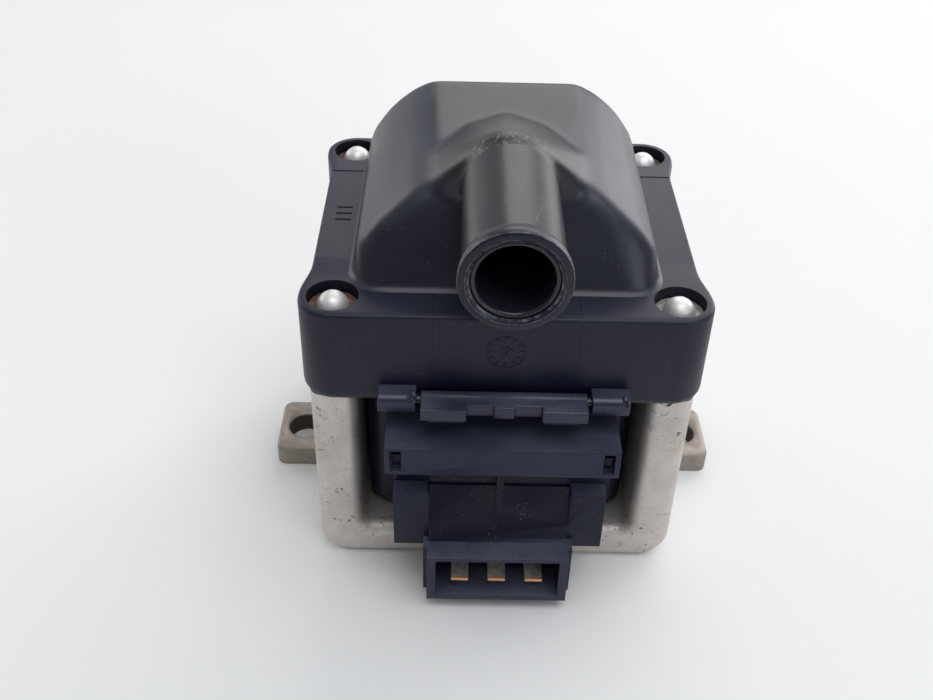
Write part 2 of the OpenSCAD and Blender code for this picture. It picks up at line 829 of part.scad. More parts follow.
// Three tinned blades of the socket, each bent up and back to the board.
module terminal_blades() {
    color([0.72, 0.68, 0.6])
    for (x = [-blade_pitch, 0, blade_pitch]) {
        x0 = x - blade_w / 2;
        x1 = x + blade_w / 2;
        block([x0, blade_tip, blade_z], [x1, blade_y, blade_z + blade_t]);
        block([x0, blade_y - blade_t, blade_z], [x1, blade_y, blade_up]);
        block([x0, blade_y - blade_t, blade_up - blade_t], [x1, board_y - board_t, blade_up]);
    }
}

// Two screws that pull the module's foot down on the base floor.
module module_screws() {
    color([0.55, 0.55, 0.57])
    for (s = [-1, 1]) {
        translate([s * screw_x, screw_y, screw_sink]) difference() {
            union() {
                cylinder(r = screw_head_r, h = screw_head_t);
                cylinder(r = screw_r, h = floor_t + screw_grip);
            }
            translate([0, 0, -e]) cylinder(r = hex_r, h = hex_t, $fn = 6);
        }
    }
}

// Keeper flap that swings up on its pin.
module keeper_flap() {
    tip_y = pin_y - flap_len;
    color([0.12, 0.12, 0.14])
    difference() {
        union() {
            rod_x(pin_y, pin_z, knuckle_r, 2 * flap_hw);
            block([-flap_hw, tip_y, pin_z - flap_t / 2], [flap_hw, pin_y, pin_z + flap_t / 2]);
        }
        for (s = [-1, 1]) {
            side_block(s, notch_x[0], notch_x[1], [tip_y - cut, tip_y + notch_in],
                [pin_z - flap_t, pin_z + flap_t]);
        }
        block([-notch_x[0] - e, tip_y - cut, pin_z - flap_t],
            [notch_x[0] + e, tip_y + tongue_in, pin_z + flap_t]);
        rod_x(pin_y, pin_z, pin_r + run_gap, 2 * (flap_hw + cut));
    }
}

// Moulded pin of the keeper flap.
module flap_pin() {
    color([0.15, 0.15, 0.17]) rod_x(pin_y, pin_z, pin_r, pin_l);
}

base_frame();
coil_housing();
housing_skirt();
tower_sleeve();
hv_terminal();
hv_lead();
corner_rivets();
rivet_washers();
base_pad();
core_stack();
core_yoke();
gap_magnet();
primary_bobbin();
primary_winding();
secondary_bobbin();
secondary_winding();
potting_compound();
primary_leads();
module_case();
module_cover();
heat_spreader();
thermal_pad();
circuit_board();
power_transistor();
board_capacitors();
terminal_blades();
module_screws();
keeper_flap();
flap_pin();
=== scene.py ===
# %% [markdown]
# # An ignition coil, finished for the camera
# The part is an ignition coil: a cast metal base shaped like a U, a black
# moulded housing with a high-voltage tower, and a driver module with a socket.
# The engineering model is already packed as a frame. This lesson loads that frame,
# keeps its inner pieces, and builds finer pieces over the ones that are seen.
# Every length below is in millimetres, because that is how a toolmaker thinks of a
# coil; one helper turns a finished piece into metres.

# %% Load the frame
import math

import bmesh
import bpy
from mathutils import Matrix, Vector


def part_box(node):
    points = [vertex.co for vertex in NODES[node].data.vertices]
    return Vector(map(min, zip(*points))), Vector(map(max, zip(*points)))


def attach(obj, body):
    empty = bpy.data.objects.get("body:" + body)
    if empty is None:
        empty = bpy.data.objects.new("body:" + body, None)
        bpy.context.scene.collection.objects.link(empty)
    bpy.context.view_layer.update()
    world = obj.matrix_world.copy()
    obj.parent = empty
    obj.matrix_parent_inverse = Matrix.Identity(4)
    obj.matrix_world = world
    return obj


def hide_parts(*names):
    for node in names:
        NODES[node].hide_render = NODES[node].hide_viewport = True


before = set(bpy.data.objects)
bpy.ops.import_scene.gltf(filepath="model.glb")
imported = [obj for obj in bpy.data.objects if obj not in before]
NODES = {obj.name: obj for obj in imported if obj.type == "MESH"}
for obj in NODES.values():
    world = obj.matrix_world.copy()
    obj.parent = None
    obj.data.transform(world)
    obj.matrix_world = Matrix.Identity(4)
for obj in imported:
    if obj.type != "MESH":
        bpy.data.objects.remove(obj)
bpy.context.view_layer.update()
MM = 0.001

# %% [markdown]
# ## The sizes that every piece shares
# The visual pieces must sit exactly on the engineering ones, so most places are
# read from the boxes of the nodes. The few numbers below are the ones that a box
# can't tell, such as a radius or the height of the tower's axis.

# %% Shared sizes
def node_box(node):
    """The lowest and highest corner of an engineering node, in millimetres."""
    return [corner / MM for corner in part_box(node)]


BASE_HIGH = node_box("base_frame")[1]
HOUSING_LOW = node_box("coil_housing")[0]
BLADES_LOW = node_box("terminal_blades")[0]
LINER_LOW, LINER_HIGH = node_box("tower_sleeve")
RIVETS_LOW, RIVETS_HIGH = node_box("corner_rivets")

FLANGE_Z0 = HOUSING_LOW.z
FLANGE_Z1 = FLANGE_Z0 + 24
FLANGE_HW = 45.0
FLANGE_HD = 40.5
BOSS_R = 7.5
WAIST = 1.8
RIVET_X = FLANGE_HW - BOSS_R
RIVET_Y = FLANGE_HD - BOSS_R
DOME_TOP = FLANGE_Z1 + 23.6
TOWER_Z = FLANGE_Z1 + 22
TOWER_R = 10.1
LIP_R = 11.0
MOUTH_Y = HOUSING_LOW.y
print("flange", FLANGE_Z0, "to", FLANGE_Z1, "tower mouth at y", round(MOUTH_Y, 2))

# %% [markdown]
# ## Small tools for modelling
# A bmesh is Blender's workbench for a mesh: operators add and change shapes on it,
# and at the end it is written to an object. These helpers name the moves that this
# object needs again and again: a box between two corners, a rod between two points,
# an outline pulled up into a plate, and a profile turned round an axis.

# %% Boxes, rods, balls, plates and turned shapes
def add_box(bm, low, high):
    """A box between two corners; returns its vertices."""
    verts = bmesh.ops.create_cube(bm, size=1.0)["verts"]
    low, high = Vector(low), Vector(high)
    bmesh.ops.scale(bm, vec=high - low, verts=verts)
    bmesh.ops.translate(bm, vec=(low + high) / 2, verts=verts)
    return verts


def add_rod(bm, start, end, radius, end_radius=None, segments=64):
    """A closed rod or cone between two points."""
    start, end = Vector(start), Vector(end)
    turn = (end - start).to_track_quat("Z", "Y").to_matrix().to_4x4()
    place = Matrix.Translation((start + end) / 2) @ turn
    return bmesh.ops.create_cone(
        bm, cap_ends=True, segments=segments, radius1=radius,
        radius2=radius if end_radius is None else end_radius,
        depth=(end - start).length, matrix=place)["verts"]


def add_ball(bm, centre, radius):
    """A small ball, used as a rounded corner of a hull."""
    return bmesh.ops.create_icosphere(
        bm, subdivisions=3, radius=radius, matrix=Matrix.Translation(centre))["verts"]


def add_plate(bm, outline, shift):
    """A flat face through a few points, pulled along shift into a solid."""
    face = bm.faces.new([bm.verts.new(point) for point in outline])
    pulled = bmesh.ops.extrude_face_region(bm, geom=[face])["geom"]
    moved = [part for part in pulled if isinstance(part, bmesh.types.BMVert)]
    bmesh.ops.translate(bm, vec=shift, verts=moved)
    bmesh.ops.recalc_face_normals(bm, faces=bm.faces[:])


def add_turned(bm, profile, centre, axis, steps=96):
    """A profile, given as a closed or open row of points, spun once round an axis."""
    row = [bm.verts.new(point) for point in profile]
    edges = [bm.edges.new(pair) for pair in zip(row, row[1:])]
    bmesh.ops.spin(bm, geom=row + edges, cent=centre, axis=axis,
                   angle=math.tau, steps=steps, use_merge=True)
    bmesh.ops.remove_doubles(bm, verts=bm.verts[:], dist=1e-4)
    bmesh.ops.recalc_face_normals(bm, faces=bm.faces[:])


def round_edges(bm, edges, radius, segments, clamp=True):
    """Rounds edges; bmesh's own defaults are not the editor's, so all are given."""
    bmesh.ops.bevel(bm, geom=list(edges), offset=radius, offset_type="OFFSET",
                    segments=segments, profile=0.5, affect="EDGES", material=-1,
                    clamp_overlap=clamp)


# %% [markdown]
# ## From the bench to the scene
# `make_piece` writes a bmesh to an object in metres, makes it ride on its body and
# hides the engineering node it stands for. `carve` cuts or joins with another
# shape and settles the result at once. The exact solver hands back the same points
# in a different order each time, and merging doubles depends on that order, so
# `in_order` sorts them first; without it, some runs lose a face. `merge_flats` joins
# the leftover triangles once the carving is done. `soften` adds the fine rounded
# edge that every real moulding has; without it, an edge catches no light.

# %% Writing, carving and softening pieces
def bench_to_object(name, bm):
    """Writes the bmesh to a mesh object in metres and frees it."""
    bmesh.ops.scale(bm, vec=(MM, MM, MM), verts=bm.verts[:])
    mesh = bpy.data.meshes.new(name)
    bm.to_mesh(mesh)
    bm.free()
    obj = bpy.data.objects.new(name, mesh)
    bpy.context.scene.collection.objects.link(obj)
    return obj


def make_piece(name, bm, body, node, material):
    """A finished piece: placed, riding on its body, standing for its node."""
    obj = bench_to_object(name, bm)
    obj.data.materials.append(material)
    obj.data.polygons.foreach_set("use_smooth", [True] * len(obj.data.polygons))
    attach(obj, body)
    if node:
        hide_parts(node)
    print(name, len(obj.data.polygons), "faces")
    return obj


def settle(obj):
    """Bakes the live modifiers into the mesh."""
    bpy.context.view_layer.update()
    seen = obj.evaluated_get(bpy.context.evaluated_depsgraph_get())
    mesh = bpy.data.meshes.new_from_object(seen)
    obj.modifiers.clear()
    obj.data = mesh


def in_order(bm):
    """The same mesh with its vertices and faces sorted by place."""
    sorted_verts = sorted(bm.verts, key=lambda vert: tuple(vert.co))
    place = {vert: index for index, vert in enumerate(sorted_verts)}
    rings = []
    for face in bm.faces:
        ring = [place[vert] for vert in face.verts]
        start = ring.index(min(ring))
        rings.append(ring[start:] + ring[:start])
    fresh = bmesh.new()
    made = [fresh.verts.new(vert.co) for vert in sorted_verts]
    for ring in sorted(rings):
        fresh.faces.new([made[index] for index in ring])
    bm.free()
    return fresh


def merge_flats(bm):
    """Joins the triangles of each flat face, once all the carving is done."""
    bmesh.ops.dissolve_limit(bm, angle_limit=math.radians(0.5),
                             verts=bm.verts[:], edges=bm.edges[:])
    open_edges = sum(1 for edge in bm.edges if len(edge.link_faces) != 2)
    if open_edges:
        raise RuntimeError("carving left %d open edges" % open_edges)
    print("merged:", len(bm.faces), "faces, none open")
    return bm


def carve(bm, cutter, operation="DIFFERENCE"):
    """Cuts or joins two bmeshes exactly and returns the new bmesh, still in mm."""
    pair = []
    for name, shape in (("bench_body", bm), ("bench_tool", cutter)):
        bmesh.ops.triangulate(shape, faces=shape.faces[:])
        bmesh.ops.recalc_face_normals(shape, faces=shape.faces[:])
        mesh = bpy.data.meshes.new(name)
        shape.to_mesh(mesh)
        shape.free()
        pair.append(bpy.data.objects.new(name, mesh))
        bpy.context.scene.collection.objects.link(pair[-1])
    body, tool = pair
    change = body.modifiers.new("carve", "BOOLEAN")
    change.operation = operation
    change.solver = "EXACT"
    change.object = tool
    settle(body)
    result = bmesh.new()
    result.from_mesh(body.data)
    for obj in pair:
        bpy.data.objects.remove(obj)
    result = in_order(result)
    bmesh.ops.remove_doubles(result, verts=result.verts[:], dist=1e-4)
    open_edges = sum(1 for edge in result.edges if len(edge.link_faces) != 2)
    print("carved:", len(result.faces), "faces,", open_edges, "open edges")
    return result


def soften(obj, width, segments=2, angle=35):
    """A fine live bevel on every crease, with clean shading on the flats."""
    bevel = obj.modifiers.new("soft edge", "BEVEL")
    bevel.width = width * MM
    bevel.segments = segments
    bevel.limit_method = "ANGLE"
    bevel.angle_limit = math.radians(angle)
    bevel.harden_normals = True
    bevel.use_clamp_overlap = True
    return obj


def bench_copy(node):
    """A node's mesh on the bench in mm, its loose triangles merged into real faces."""
    bm = bmesh.new()
    bm.from_mesh(NODES[node].data)
    bmesh.ops.scale(bm, vec=(1 / MM, 1 / MM, 1 / MM), verts=bm.verts[:])
    bmesh.ops.remove_doubles(bm, verts=bm.verts[:], dist=1e-3)
    bmesh.ops.dissolve_limit(bm, angle_limit=math.radians(1), verts=bm.verts[:],
                             edges=bm.edges[:])
    print(node, "copied with", len(bm.faces), "faces")
    return bm


# %% [markdown]
# ## Writing materials as sums
# A node material is a sum of patterns. `Wire` wraps one output socket, so patterns
# can be added, multiplied and compared in ordinary Python, and each sum adds its
# Math node. `Finish` is one material: its `add` makes any other node, settings
# first and sockets after. Patterns read Object coordinates, turned into
# millimetres, so a grain has the same size on every piece.

# %% The Wire and Finish classes
class Wire:
    """One output socket that joins in ordinary sums."""

    def __init__(self, finish, socket):
        self.finish = finish
        self.socket = socket

    def __add__(self, other):
        return self.finish.sum("ADD", self, other)

    def __radd__(self, other):
        return self.finish.sum("ADD", other, self)

    def __sub__(self, other):
        return self.finish.sum("SUBTRACT", self, other)

    def __rsub__(self, other):
        return self.finish.sum("SUBTRACT", other, self)

    def __mul__(self, other):
        return self.finish.sum("MULTIPLY", self, other)

    def __rmul__(self, other):
        return self.finish.sum("MULTIPLY", other, self)

    def above(self, low, high):
        """0 below low, 1 above high, smooth between; low may be the larger."""
        return self.finish.add(
            "ShaderNodeMapRange", {"interpolation_type": "SMOOTHSTEP"},
            {"Value": self, "From Min": low, "From Max": high})


class Finish:
    """One procedural material under construction."""

    def __init__(self, name):
        self.material = bpy.data.materials.new(name)
        self.material.use_nodes = True
        self.tree = self.material.node_tree
        self.tree.nodes.clear()
        metres = self.add("ShaderNodeTexCoord", out="Object")
        self.place = self.add("ShaderNodeVectorMath", {"operation": "SCALE"},
                              {"Vector": metres, "Scale": 1 / MM})

    def add(self, kind, settings=None, values=None, out=0):
        """Adds a node: settings first, then numbers, colours or wires on sockets."""
        node = self.tree.nodes.new(kind)
        for key, value in (settings or {}).items():
            if key == "stops":
                ramp = node.color_ramp.elements
                for spare in range(len(value) - len(ramp)):
                    ramp.new(0.5)
                for stop, (position, colour) in zip(ramp, value):
                    stop.position = position
                    stop.color = (*colour, 1)
            else:
                setattr(node, key, value)
        for key, value in (values or {}).items():
            socket = node.inputs[key]
            if isinstance(value, Wire):
                self.tree.links.new(value.socket, socket)
            elif socket.type == "RGBA":
                socket.default_value = (*value, 1)
            else:
                socket.default_value = value
        return Wire(self, node.outputs[out])

    def sum(self, operation, *terms):
        return self.add("ShaderNodeMath", {"operation": operation},
                        dict(enumerate(terms)))

    def noise(self, scale, detail=2.0, rough=0.5, bend=0.0, place=None):
        """Cloudy noise; scale is how many clouds fit in a millimetre."""
        return self.add("ShaderNodeTexNoise", None, {
            "Vector": place or self.place, "Scale": scale, "Detail": detail,
            "Roughness": rough, "Distortion": bend})

    def cells(self, scale, feature="F1", out="Distance", place=None, jitter=1.0):
        return self.add("ShaderNodeTexVoronoi", {"feature": feature}, {
            "Vector": place or self.place, "Scale": scale, "Randomness": jitter}, out)

    def axis(self, name):
        """One coordinate in millimetres, X, Y or Z."""
        return self.add("ShaderNodeSeparateXYZ", None, {"Vector": self.place}, name)

    def stretched(self, x, y, z):
        """The place with each axis multiplied, for grain that runs one way."""
        return self.add("ShaderNodeVectorMath", {"operation": "MULTIPLY"},
                        {0: self.place, 1: (x, y, z)})

    def blend(self, share, first, second):
        """Mixes two colours by a share between 0 and 1."""
        return self.add("ShaderNodeMix", {"data_type": "RGBA"},
                        {0: share, 6: first, 7: second}, 2)

    def bump(self, height, depth, strength=1.0, under=None):
        """Raises the surface by height times depth, in millimetres."""
        values = {"Height": height, "Distance": depth * MM, "Strength": strength}
        if under:
            values["Normal"] = under
        return self.add("ShaderNodeBump", None, values)

    def done(self, **values):
        """The surface shader and the output; returns the material."""
        named = {key.replace("_", " "): value for key, value in values.items()}
        shader = self.add("ShaderNodeBsdfPrincipled", None, named)
        output = self.tree.nodes.new("ShaderNodeOutputMaterial")
        self.tree.links.new(shader.socket, output.inputs["Surface"])
        print("finish", self.material.name, len(self.tree.nodes), "nodes")
        return self.material

# %% [markdown]
# ## Black moulded plastic
# The housing, the hood and the socket are glass-filled plastic. Seen close, it is
# not one black: the mould leaves a slightly cloudy gloss, handling leaves dust
# specks and hair-thin scratches, and those show because they are rougher and paler
# than the skin round them. What faces up gets a thin pale bluish film, partly
# settled dust and partly painted light from above. One function makes every black
# finish, so the pieces look like one family. Marks that belong to one place, such
# as the darker lip of the tower's mouth, which is painted shade, and its pale edges,
# which are partly wear and partly painted highlights, come from a small function of
# their own, which is handed in as `marks`.

# %% Moulded finishes
DUST_COLOUR = (0.20, 0.19, 0.18)
# Pale colour for the edges of the tower's mouth: partly wear, partly painted highlight.
EDGE_WEAR_AND_HIGHLIGHT_COLOUR = (0.20, 0.21, 0.25)
PRINT_FIELD = (0.0012, 0.0013, 0.0025)
# Pale bluish colour for dust on upward faces and for painted light on tops and on the socket's
# front rim.
DUST_AND_PAINTED_LIGHT_COLOUR = (0.095, 0.105, 0.145)
# Colour of the painted shade on the front lip of the tower's mouth.
LIP_SHADE_COLOUR = (0.0045, 0.0055, 0.0150)
# Colour of the painted shade behind the hood and in the module's channel.
PAINTED_SHADE_COLOUR = (0.0012, 0.0022, 0.0120)
SCUFF_Y0 = -24.5
SCUFF_Y1 = -17.0
FIELD_HW = 17.5
BEHIND_HOOD_Z = 36.0
CHANNEL_HW = 16.9
CHANNEL_Z0 = 18.0


def dome_marks(finish, colour, speck, scratch):
    """A scuffed band above the tower, and a plain dark field on the flat top."""
    along = finish.axis("Y")
    band = along.above(SCUFF_Y0, SCUFF_Y0 + 1.5) * along.above(SCUFF_Y1, SCUFF_Y1 - 2.0)
    crown = finish.axis("Z").above(TOWER_Z + 3, TOWER_Z + 7)
    scuff = finish.noise(1.1, 4.0, 0.7, 0.6).above(0.54, 0.62) * band * crown
    from_middle = finish.sum("ABSOLUTE", finish.axis("X"))
    flat_top = finish.axis("Z").above(DOME_TOP - 1.6, DOME_TOP - 1.0)
    field = from_middle.above(FIELD_HW, FIELD_HW - 0.7) * flat_top
    colour = finish.blend(field * 0.85, colour, PRINT_FIELD)
    return colour, speck + scuff * 0.35, scratch + scuff * 0.8


def mouth_marks(finish, colour, speck, scratch):
    """Painted shade on the front lip of the tower's mouth, and pale edges that are partly wear and
    partly painted highlights.
    """
    along = finish.axis("Y")
    # Painted shade: the front lip of the mouth is darkened and turned bluer.
    shaded_lip = along.above(MOUTH_Y + 4.0, MOUTH_Y + 2.6)
    colour = finish.blend(shaded_lip, colour, LIP_SHADE_COLOUR)
    # Pale lines along the mouth's two edges: partly wear, partly painted highlights.
    wear_and_highlight = finish.noise(0.9, 3.0, 0.6).above(0.35, 0.7)
    inner = along.above(MOUTH_Y + 0.10, MOUTH_Y + 0.04)
    outer = along.above(MOUTH_Y + 0.28, MOUTH_Y + 0.36)
    outer = outer * along.above(MOUTH_Y + 0.70, MOUTH_Y + 0.58)
    colour = finish.blend((inner + outer) * wear_and_highlight * 0.55, colour, EDGE_WEAR_AND_HIGHLIGHT_COLOUR)
    return colour, speck, scratch


def module_marks(finish, colour, speck, scratch):
    """Painted shade behind the hood and in the channel, pale chips, and painted light on the
    socket's front rim.
    """
    height_up = finish.axis("Z")
    behind_hood = height_up.above(BEHIND_HOOD_Z, BEHIND_HOOD_Z + 2.0)
    from_middle = finish.sum("ABSOLUTE", finish.axis("X"))
    channel = from_middle.above(CHANNEL_HW, CHANNEL_HW - 0.5)
    channel = channel * height_up.above(CHANNEL_Z0, CHANNEL_Z0 + 0.8)
    # Painted shade: the module darkens behind the hood and in the recessed channel.
    painted_shade = (behind_hood + channel * 0.75).above(0.0, 1.0)
    colour = finish.blend(painted_shade, colour, PAINTED_SHADE_COLOUR)
    chips = finish.cells(1.1).above(0.26, 0.10) * finish.noise(0.16, 2.0).above(0.56, 0.62)
    # Painted light: the socket's front rim is lightened with the pale colour.
    rim = finish.axis("Y").above(BLADES_LOW.y - 1.0, BLADES_LOW.y - 1.6)
    colour = finish.blend(rim * 0.22, colour, DUST_AND_PAINTED_LIGHT_COLOUR)
    return colour, speck + chips * channel * 0.5, scratch


def moulded(name, shade, worn_shade, gloss, dust=0.5, scratches=0.4, top_dust_and_light=0.3, shine=0.4,
            marks=None):
    """Black plastic: clouds of gloss, grain, specks, scratches, and a pale film on upward faces,
    partly dust and partly painted light from above.
    """
    finish = Finish(name)
    cloud = finish.noise(0.055, 3.0, 0.55, 0.4)
    grain = finish.noise(2.4, 3.0, 0.6)
    skin = finish.noise(0.5, 2.0)
    speck_place = finish.noise(0.13, 2.0).above(0.5, 0.64)
    speck = finish.cells(0.95).above(0.13, 0.06) * speck_place * dust
    bent = finish.noise(0.08, 1.0, bend=1.5)
    line_place = finish.add("ShaderNodeVectorMath", {"operation": "MULTIPLY_ADD"},
                            {0: finish.place, 1: (0.9, 0.28, 0.5), 2: (3.1, 1.7, 0.4)})
    hair = finish.cells(0.3, "DISTANCE_TO_EDGE", place=line_place).above(0.007, 0.001)
    scratch = hair * bent.above(0.53, 0.60) * scratches
    colour = finish.blend(cloud.above(0.32, 0.72), shade, worn_shade)
    facing = finish.add("ShaderNodeTexCoord", out="Normal")
    upward = finish.add("ShaderNodeSeparateXYZ", None, {"Vector": facing}, "Z")
    # Pale film on upward faces: partly settled dust, partly painted light from above.
    dust_and_light_on_tops = upward.above(0.35, 0.95) * (cloud * 0.6 + grain * 0.4).above(0.15, 0.75) * top_dust_and_light
    colour = finish.blend(dust_and_light_on_tops, colour, DUST_AND_PAINTED_LIGHT_COLOUR)
    if marks:
        colour, speck, scratch = marks(finish, colour, speck, scratch)
    colour = finish.blend(speck + scratch * 0.5, colour, DUST_COLOUR)
    rough = gloss + (cloud - 0.5) * 0.16 + (grain - 0.5) * 0.10 + speck * 0.2
    height = grain * 0.35 + skin * 0.65 - scratch * 0.5
    return finish.done(Base_Color=colour, Roughness=rough, Specular_IOR_Level=shine,
                       Normal=finish.bump(height, 0.035))


HOUSING_FINISH = moulded("housing_moulding", (0.0034, 0.0045, 0.0170),
                         (0.0058, 0.0070, 0.0215), 0.44, 0.45, 0.15, 0.10, 0.36)
DOME_FINISH = moulded("dome_moulding", (0.0032, 0.0040, 0.0135), (0.0060, 0.0066, 0.0175),
                      0.36, 0.55, 0.2, 0.30, 0.50, dome_marks)
TOWER_FINISH = moulded("tower_moulding", (0.0056, 0.0054, 0.0095),
                       (0.0140, 0.0124, 0.0125), 0.30, 0.9, 0.8, 0.05, 0.36, mouth_marks)
HOOD_FINISH = moulded("hood_moulding", (0.0085, 0.0100, 0.0340),
                      (0.0120, 0.0140, 0.0400), 0.44, 0.35, 0.3, 0.75, 0.33)
MODULE_FINISH = moulded("module_moulding", (0.0045, 0.0058, 0.0200),
                        (0.0080, 0.0095, 0.0260), 0.42, 1.0, 0.5, 0.95, 0.28, module_marks)
LEAF_FINISH = moulded("keeper_moulding", (0.0090, 0.0110, 0.0330),
                      (0.0140, 0.0160, 0.0400), 0.34, 0.4, 0.7, 0.9, 0.50)
LINER_FINISH = moulded("liner_moulding", (0.0080, 0.0090, 0.0160),
                       (0.0130, 0.0140, 0.0200), 0.24, 0.3, 0.3, 0.05, 0.45)

# %% [markdown]
# ## Cast metal
# The base is die-cast and then tumbled: warm grey, a little mottled, with groups of
# dark pits where the melt trapped gas, and darker smears from years of oil. The
# metal is only half mirror, half oxide, so Metallic stays below one, and it falls
# away inside the pits. The ears are darker and browner, and the walls of their holes
# carry painted shade.

# %% The cast finish
BASE_HW = 43.5
EAR_HOLE_X = 52.0
EAR_HOLE_Y = 3.8
EAR_HOLE_R = 4.5


def cast_metal():
    """Die-cast metal with mottling, pits and smears, darker ears, and painted shade on the walls
    of the ear holes.
    """
    finish = Finish("cast_base_metal")
    mottle = finish.noise(0.30, 5.0, 0.68, 0.5)
    cloud = finish.noise(0.045, 3.0, 0.6)
    grit = finish.noise(2.6, 3.0, 0.6)
    patch = finish.noise(0.09, 2.0).above(0.47, 0.58)
    pit = finish.noise(0.62, 4.0, 0.62, 0.9).above(0.615, 0.68) * patch
    fleck_place = finish.noise(0.17, 2.0).above(0.44, 0.56)
    fleck = finish.noise(1.8, 3.0, 0.6, 0.5).above(0.64, 0.70) * fleck_place
    from_hole_x = finish.sum("ABSOLUTE", finish.axis("X")) - EAR_HOLE_X
    from_hole_y = finish.axis("Y") - EAR_HOLE_Y
    from_hole = finish.sum("SQRT", from_hole_x * from_hole_x + from_hole_y * from_hole_y)
    # Painted shade: the walls of the ear holes are darkened.
    hole_shade = from_hole.above(EAR_HOLE_R + 0.5, EAR_HOLE_R + 0.1)
    smear_place = finish.stretched(0.10, 0.10, 0.42)
    smear = finish.noise(1.0, 4.0, 0.6, 0.8, smear_place).above(0.60, 0.72)
    metal = finish.blend(mottle.above(0.3, 0.7), (0.68, 0.628, 0.585), (0.60, 0.545, 0.50))
    metal = finish.blend(cloud.above(0.45, 0.75) * 0.5, metal, (0.46, 0.41, 0.365))
    # The ears are darker and browner.
    darker_ears = finish.sum("ABSOLUTE", finish.axis("X")).above(BASE_HW - 0.1, BASE_HW + 1.5)
    metal = finish.blend(darker_ears * (mottle * 0.5 + 0.5), metal, (0.20, 0.165, 0.135))
    # Real pits, flecks and smears, together with the painted shade in the ear holes.
    stains_and_hole_shade = (pit * 0.85 + fleck * 0.6 + smear * 0.4 + hole_shade * 0.9).above(0.0, 1.0)
    colour = finish.blend(stains_and_hole_shade, metal, (0.065, 0.055, 0.048))
    rough = 0.50 + (mottle - 0.5) * 0.25 + stains_and_hole_shade * 0.25
    height = grit * 0.30 + mottle * 0.70 - pit * 0.9
    return finish.done(Base_Color=colour, Roughness=rough,
                       Metallic=0.62 - stains_and_hole_shade * 0.5, Normal=finish.bump(height, 0.11))


CAST_FINISH = cast_metal()

# %% [markdown]
# ## The small metals
# Rivets, washers, blades and the parts deep inside each need their own surface. One
# function makes a metal from two colours and a cloud, the washers get a ramp that
# runs from bare steel through rust, and the blades are tinned except at their
# cut tips, where the bare copper alloy shows.

# %% Rivets, washers, blades and inner metals
def small_metal(name, bright, dull, gloss, scale=0.5, depth=0.02, metal=1.0):
    """A metal with a cloudy tarnish and fine handling marks."""
    finish = Finish(name)
    tarnish = finish.noise(scale, 4.0, 0.65, 0.6)
    marks = finish.noise(3.5, 3.0, 0.7)
    colour = finish.blend(tarnish.above(0.4, 0.75), bright, dull)
    rough = gloss + (tarnish - 0.5) * 0.3 + (marks - 0.5) * 0.12
    return finish.done(Base_Color=colour, Roughness=rough, Metallic=metal,
                       Normal=finish.bump(marks * 0.4 + tarnish * 0.6, depth))


def rusty_steel():
    """Plated steel that has started to rust in patches."""
    finish = Finish("washer_rust")
    patch = finish.noise(0.42, 5.0, 0.7, 0.5)
    grit = finish.noise(3.0, 3.0, 0.65)
    cleaner = finish.axis("X").above(10.0, 36.0) * finish.axis("Y").above(10.0, -30.0)
    age = patch - cleaner * 0.22
    colour = finish.add("ShaderNodeValToRGB", {"stops": [
        (0.28, (0.46, 0.43, 0.38)), (0.42, (0.20, 0.15, 0.12)),
        (0.52, (0.085, 0.042, 0.028)), (0.66, (0.19, 0.075, 0.035))]}, {"Fac": age})
    return finish.done(Base_Color=colour, Roughness=0.42 + age * 0.5,
                       Metallic=0.75 - age.above(0.35, 0.55) * 0.6,
                       Normal=finish.bump(grit * 0.4 + patch * 0.6, 0.06))


def tinned_blade():
    """Tinned copper alloy, bare at the cut tip."""
    finish = Finish("blade_tin")
    drawn = finish.noise(1.0, 3.0, 0.6, 0.0, finish.stretched(3.0, 0.25, 3.0))
    tarnish = finish.noise(0.6, 4.0, 0.6)
    cut = finish.axis("Y").above(BLADES_LOW.y + 1.05, BLADES_LOW.y + 0.75)
    tin = finish.blend(tarnish.above(0.35, 0.7), (0.72, 0.67, 0.60), (0.48, 0.42, 0.35))
    copper = finish.blend(tarnish, (0.86, 0.50, 0.28), (0.66, 0.32, 0.15))
    return finish.done(Base_Color=finish.blend(cut, tin, copper), Metallic=0.60,
                       Roughness=0.40 + (drawn - 0.5) * 0.3,
                       Normal=finish.bump(drawn, 0.02))


RIVET_FINISH = small_metal("rivet_metal", (0.80, 0.79, 0.77), (0.64, 0.62, 0.60), 0.48, 0.7,
                           0.05, 0.62)
WASHER_FINISH = rusty_steel()
BLADE_FINISH = tinned_blade()
STEEL_FINISH = small_metal("screw_steel", (0.62, 0.62, 0.61), (0.40, 0.38, 0.36), 0.33)
BRASS_FINISH = small_metal("contact_brass", (0.80, 0.61, 0.28), (0.50, 0.35, 0.15), 0.30)
COPPER_FINISH = small_metal("lead_copper", (0.85, 0.47, 0.28), (0.52, 0.24, 0.13), 0.34)
PLATE_FINISH = small_metal("plate_metal", (0.74, 0.74, 0.75), (0.56, 0.56, 0.56), 0.38)

# %% [markdown]
# ## The parts inside
# The core is a stack of thin steel sheets, the windings are rows of enamelled wire,
# and the resin fills what is left. They are hidden in the finished coil but seen
# when it is taken apart, so each has its own pattern: dark lines between sheets,
# a rounded ridge for each turn of wire, a faint swirl in the resin.

# %% Finishes for the inner parts
def layered(name, axis, pitch, bright, dark, gloss, metal, depth):
    """Ridges repeated along one axis: sheets of a core, or turns of wire."""
    finish = Finish(name)
    wave = finish.sum("SINE", finish.axis(axis) * (math.tau / pitch)) * 0.5 + 0.5
    wander = finish.noise(0.25, 3.0, 0.6)
    colour = finish.blend(wave.above(0.30, 0.02), bright, dark)
    colour = finish.blend(wander.above(0.55, 0.8) * 0.5, colour, dark)
    return finish.done(Base_Color=colour, Metallic=metal,
                       Roughness=gloss + (wander - 0.5) * 0.3,
                       Normal=finish.bump(wave, depth))


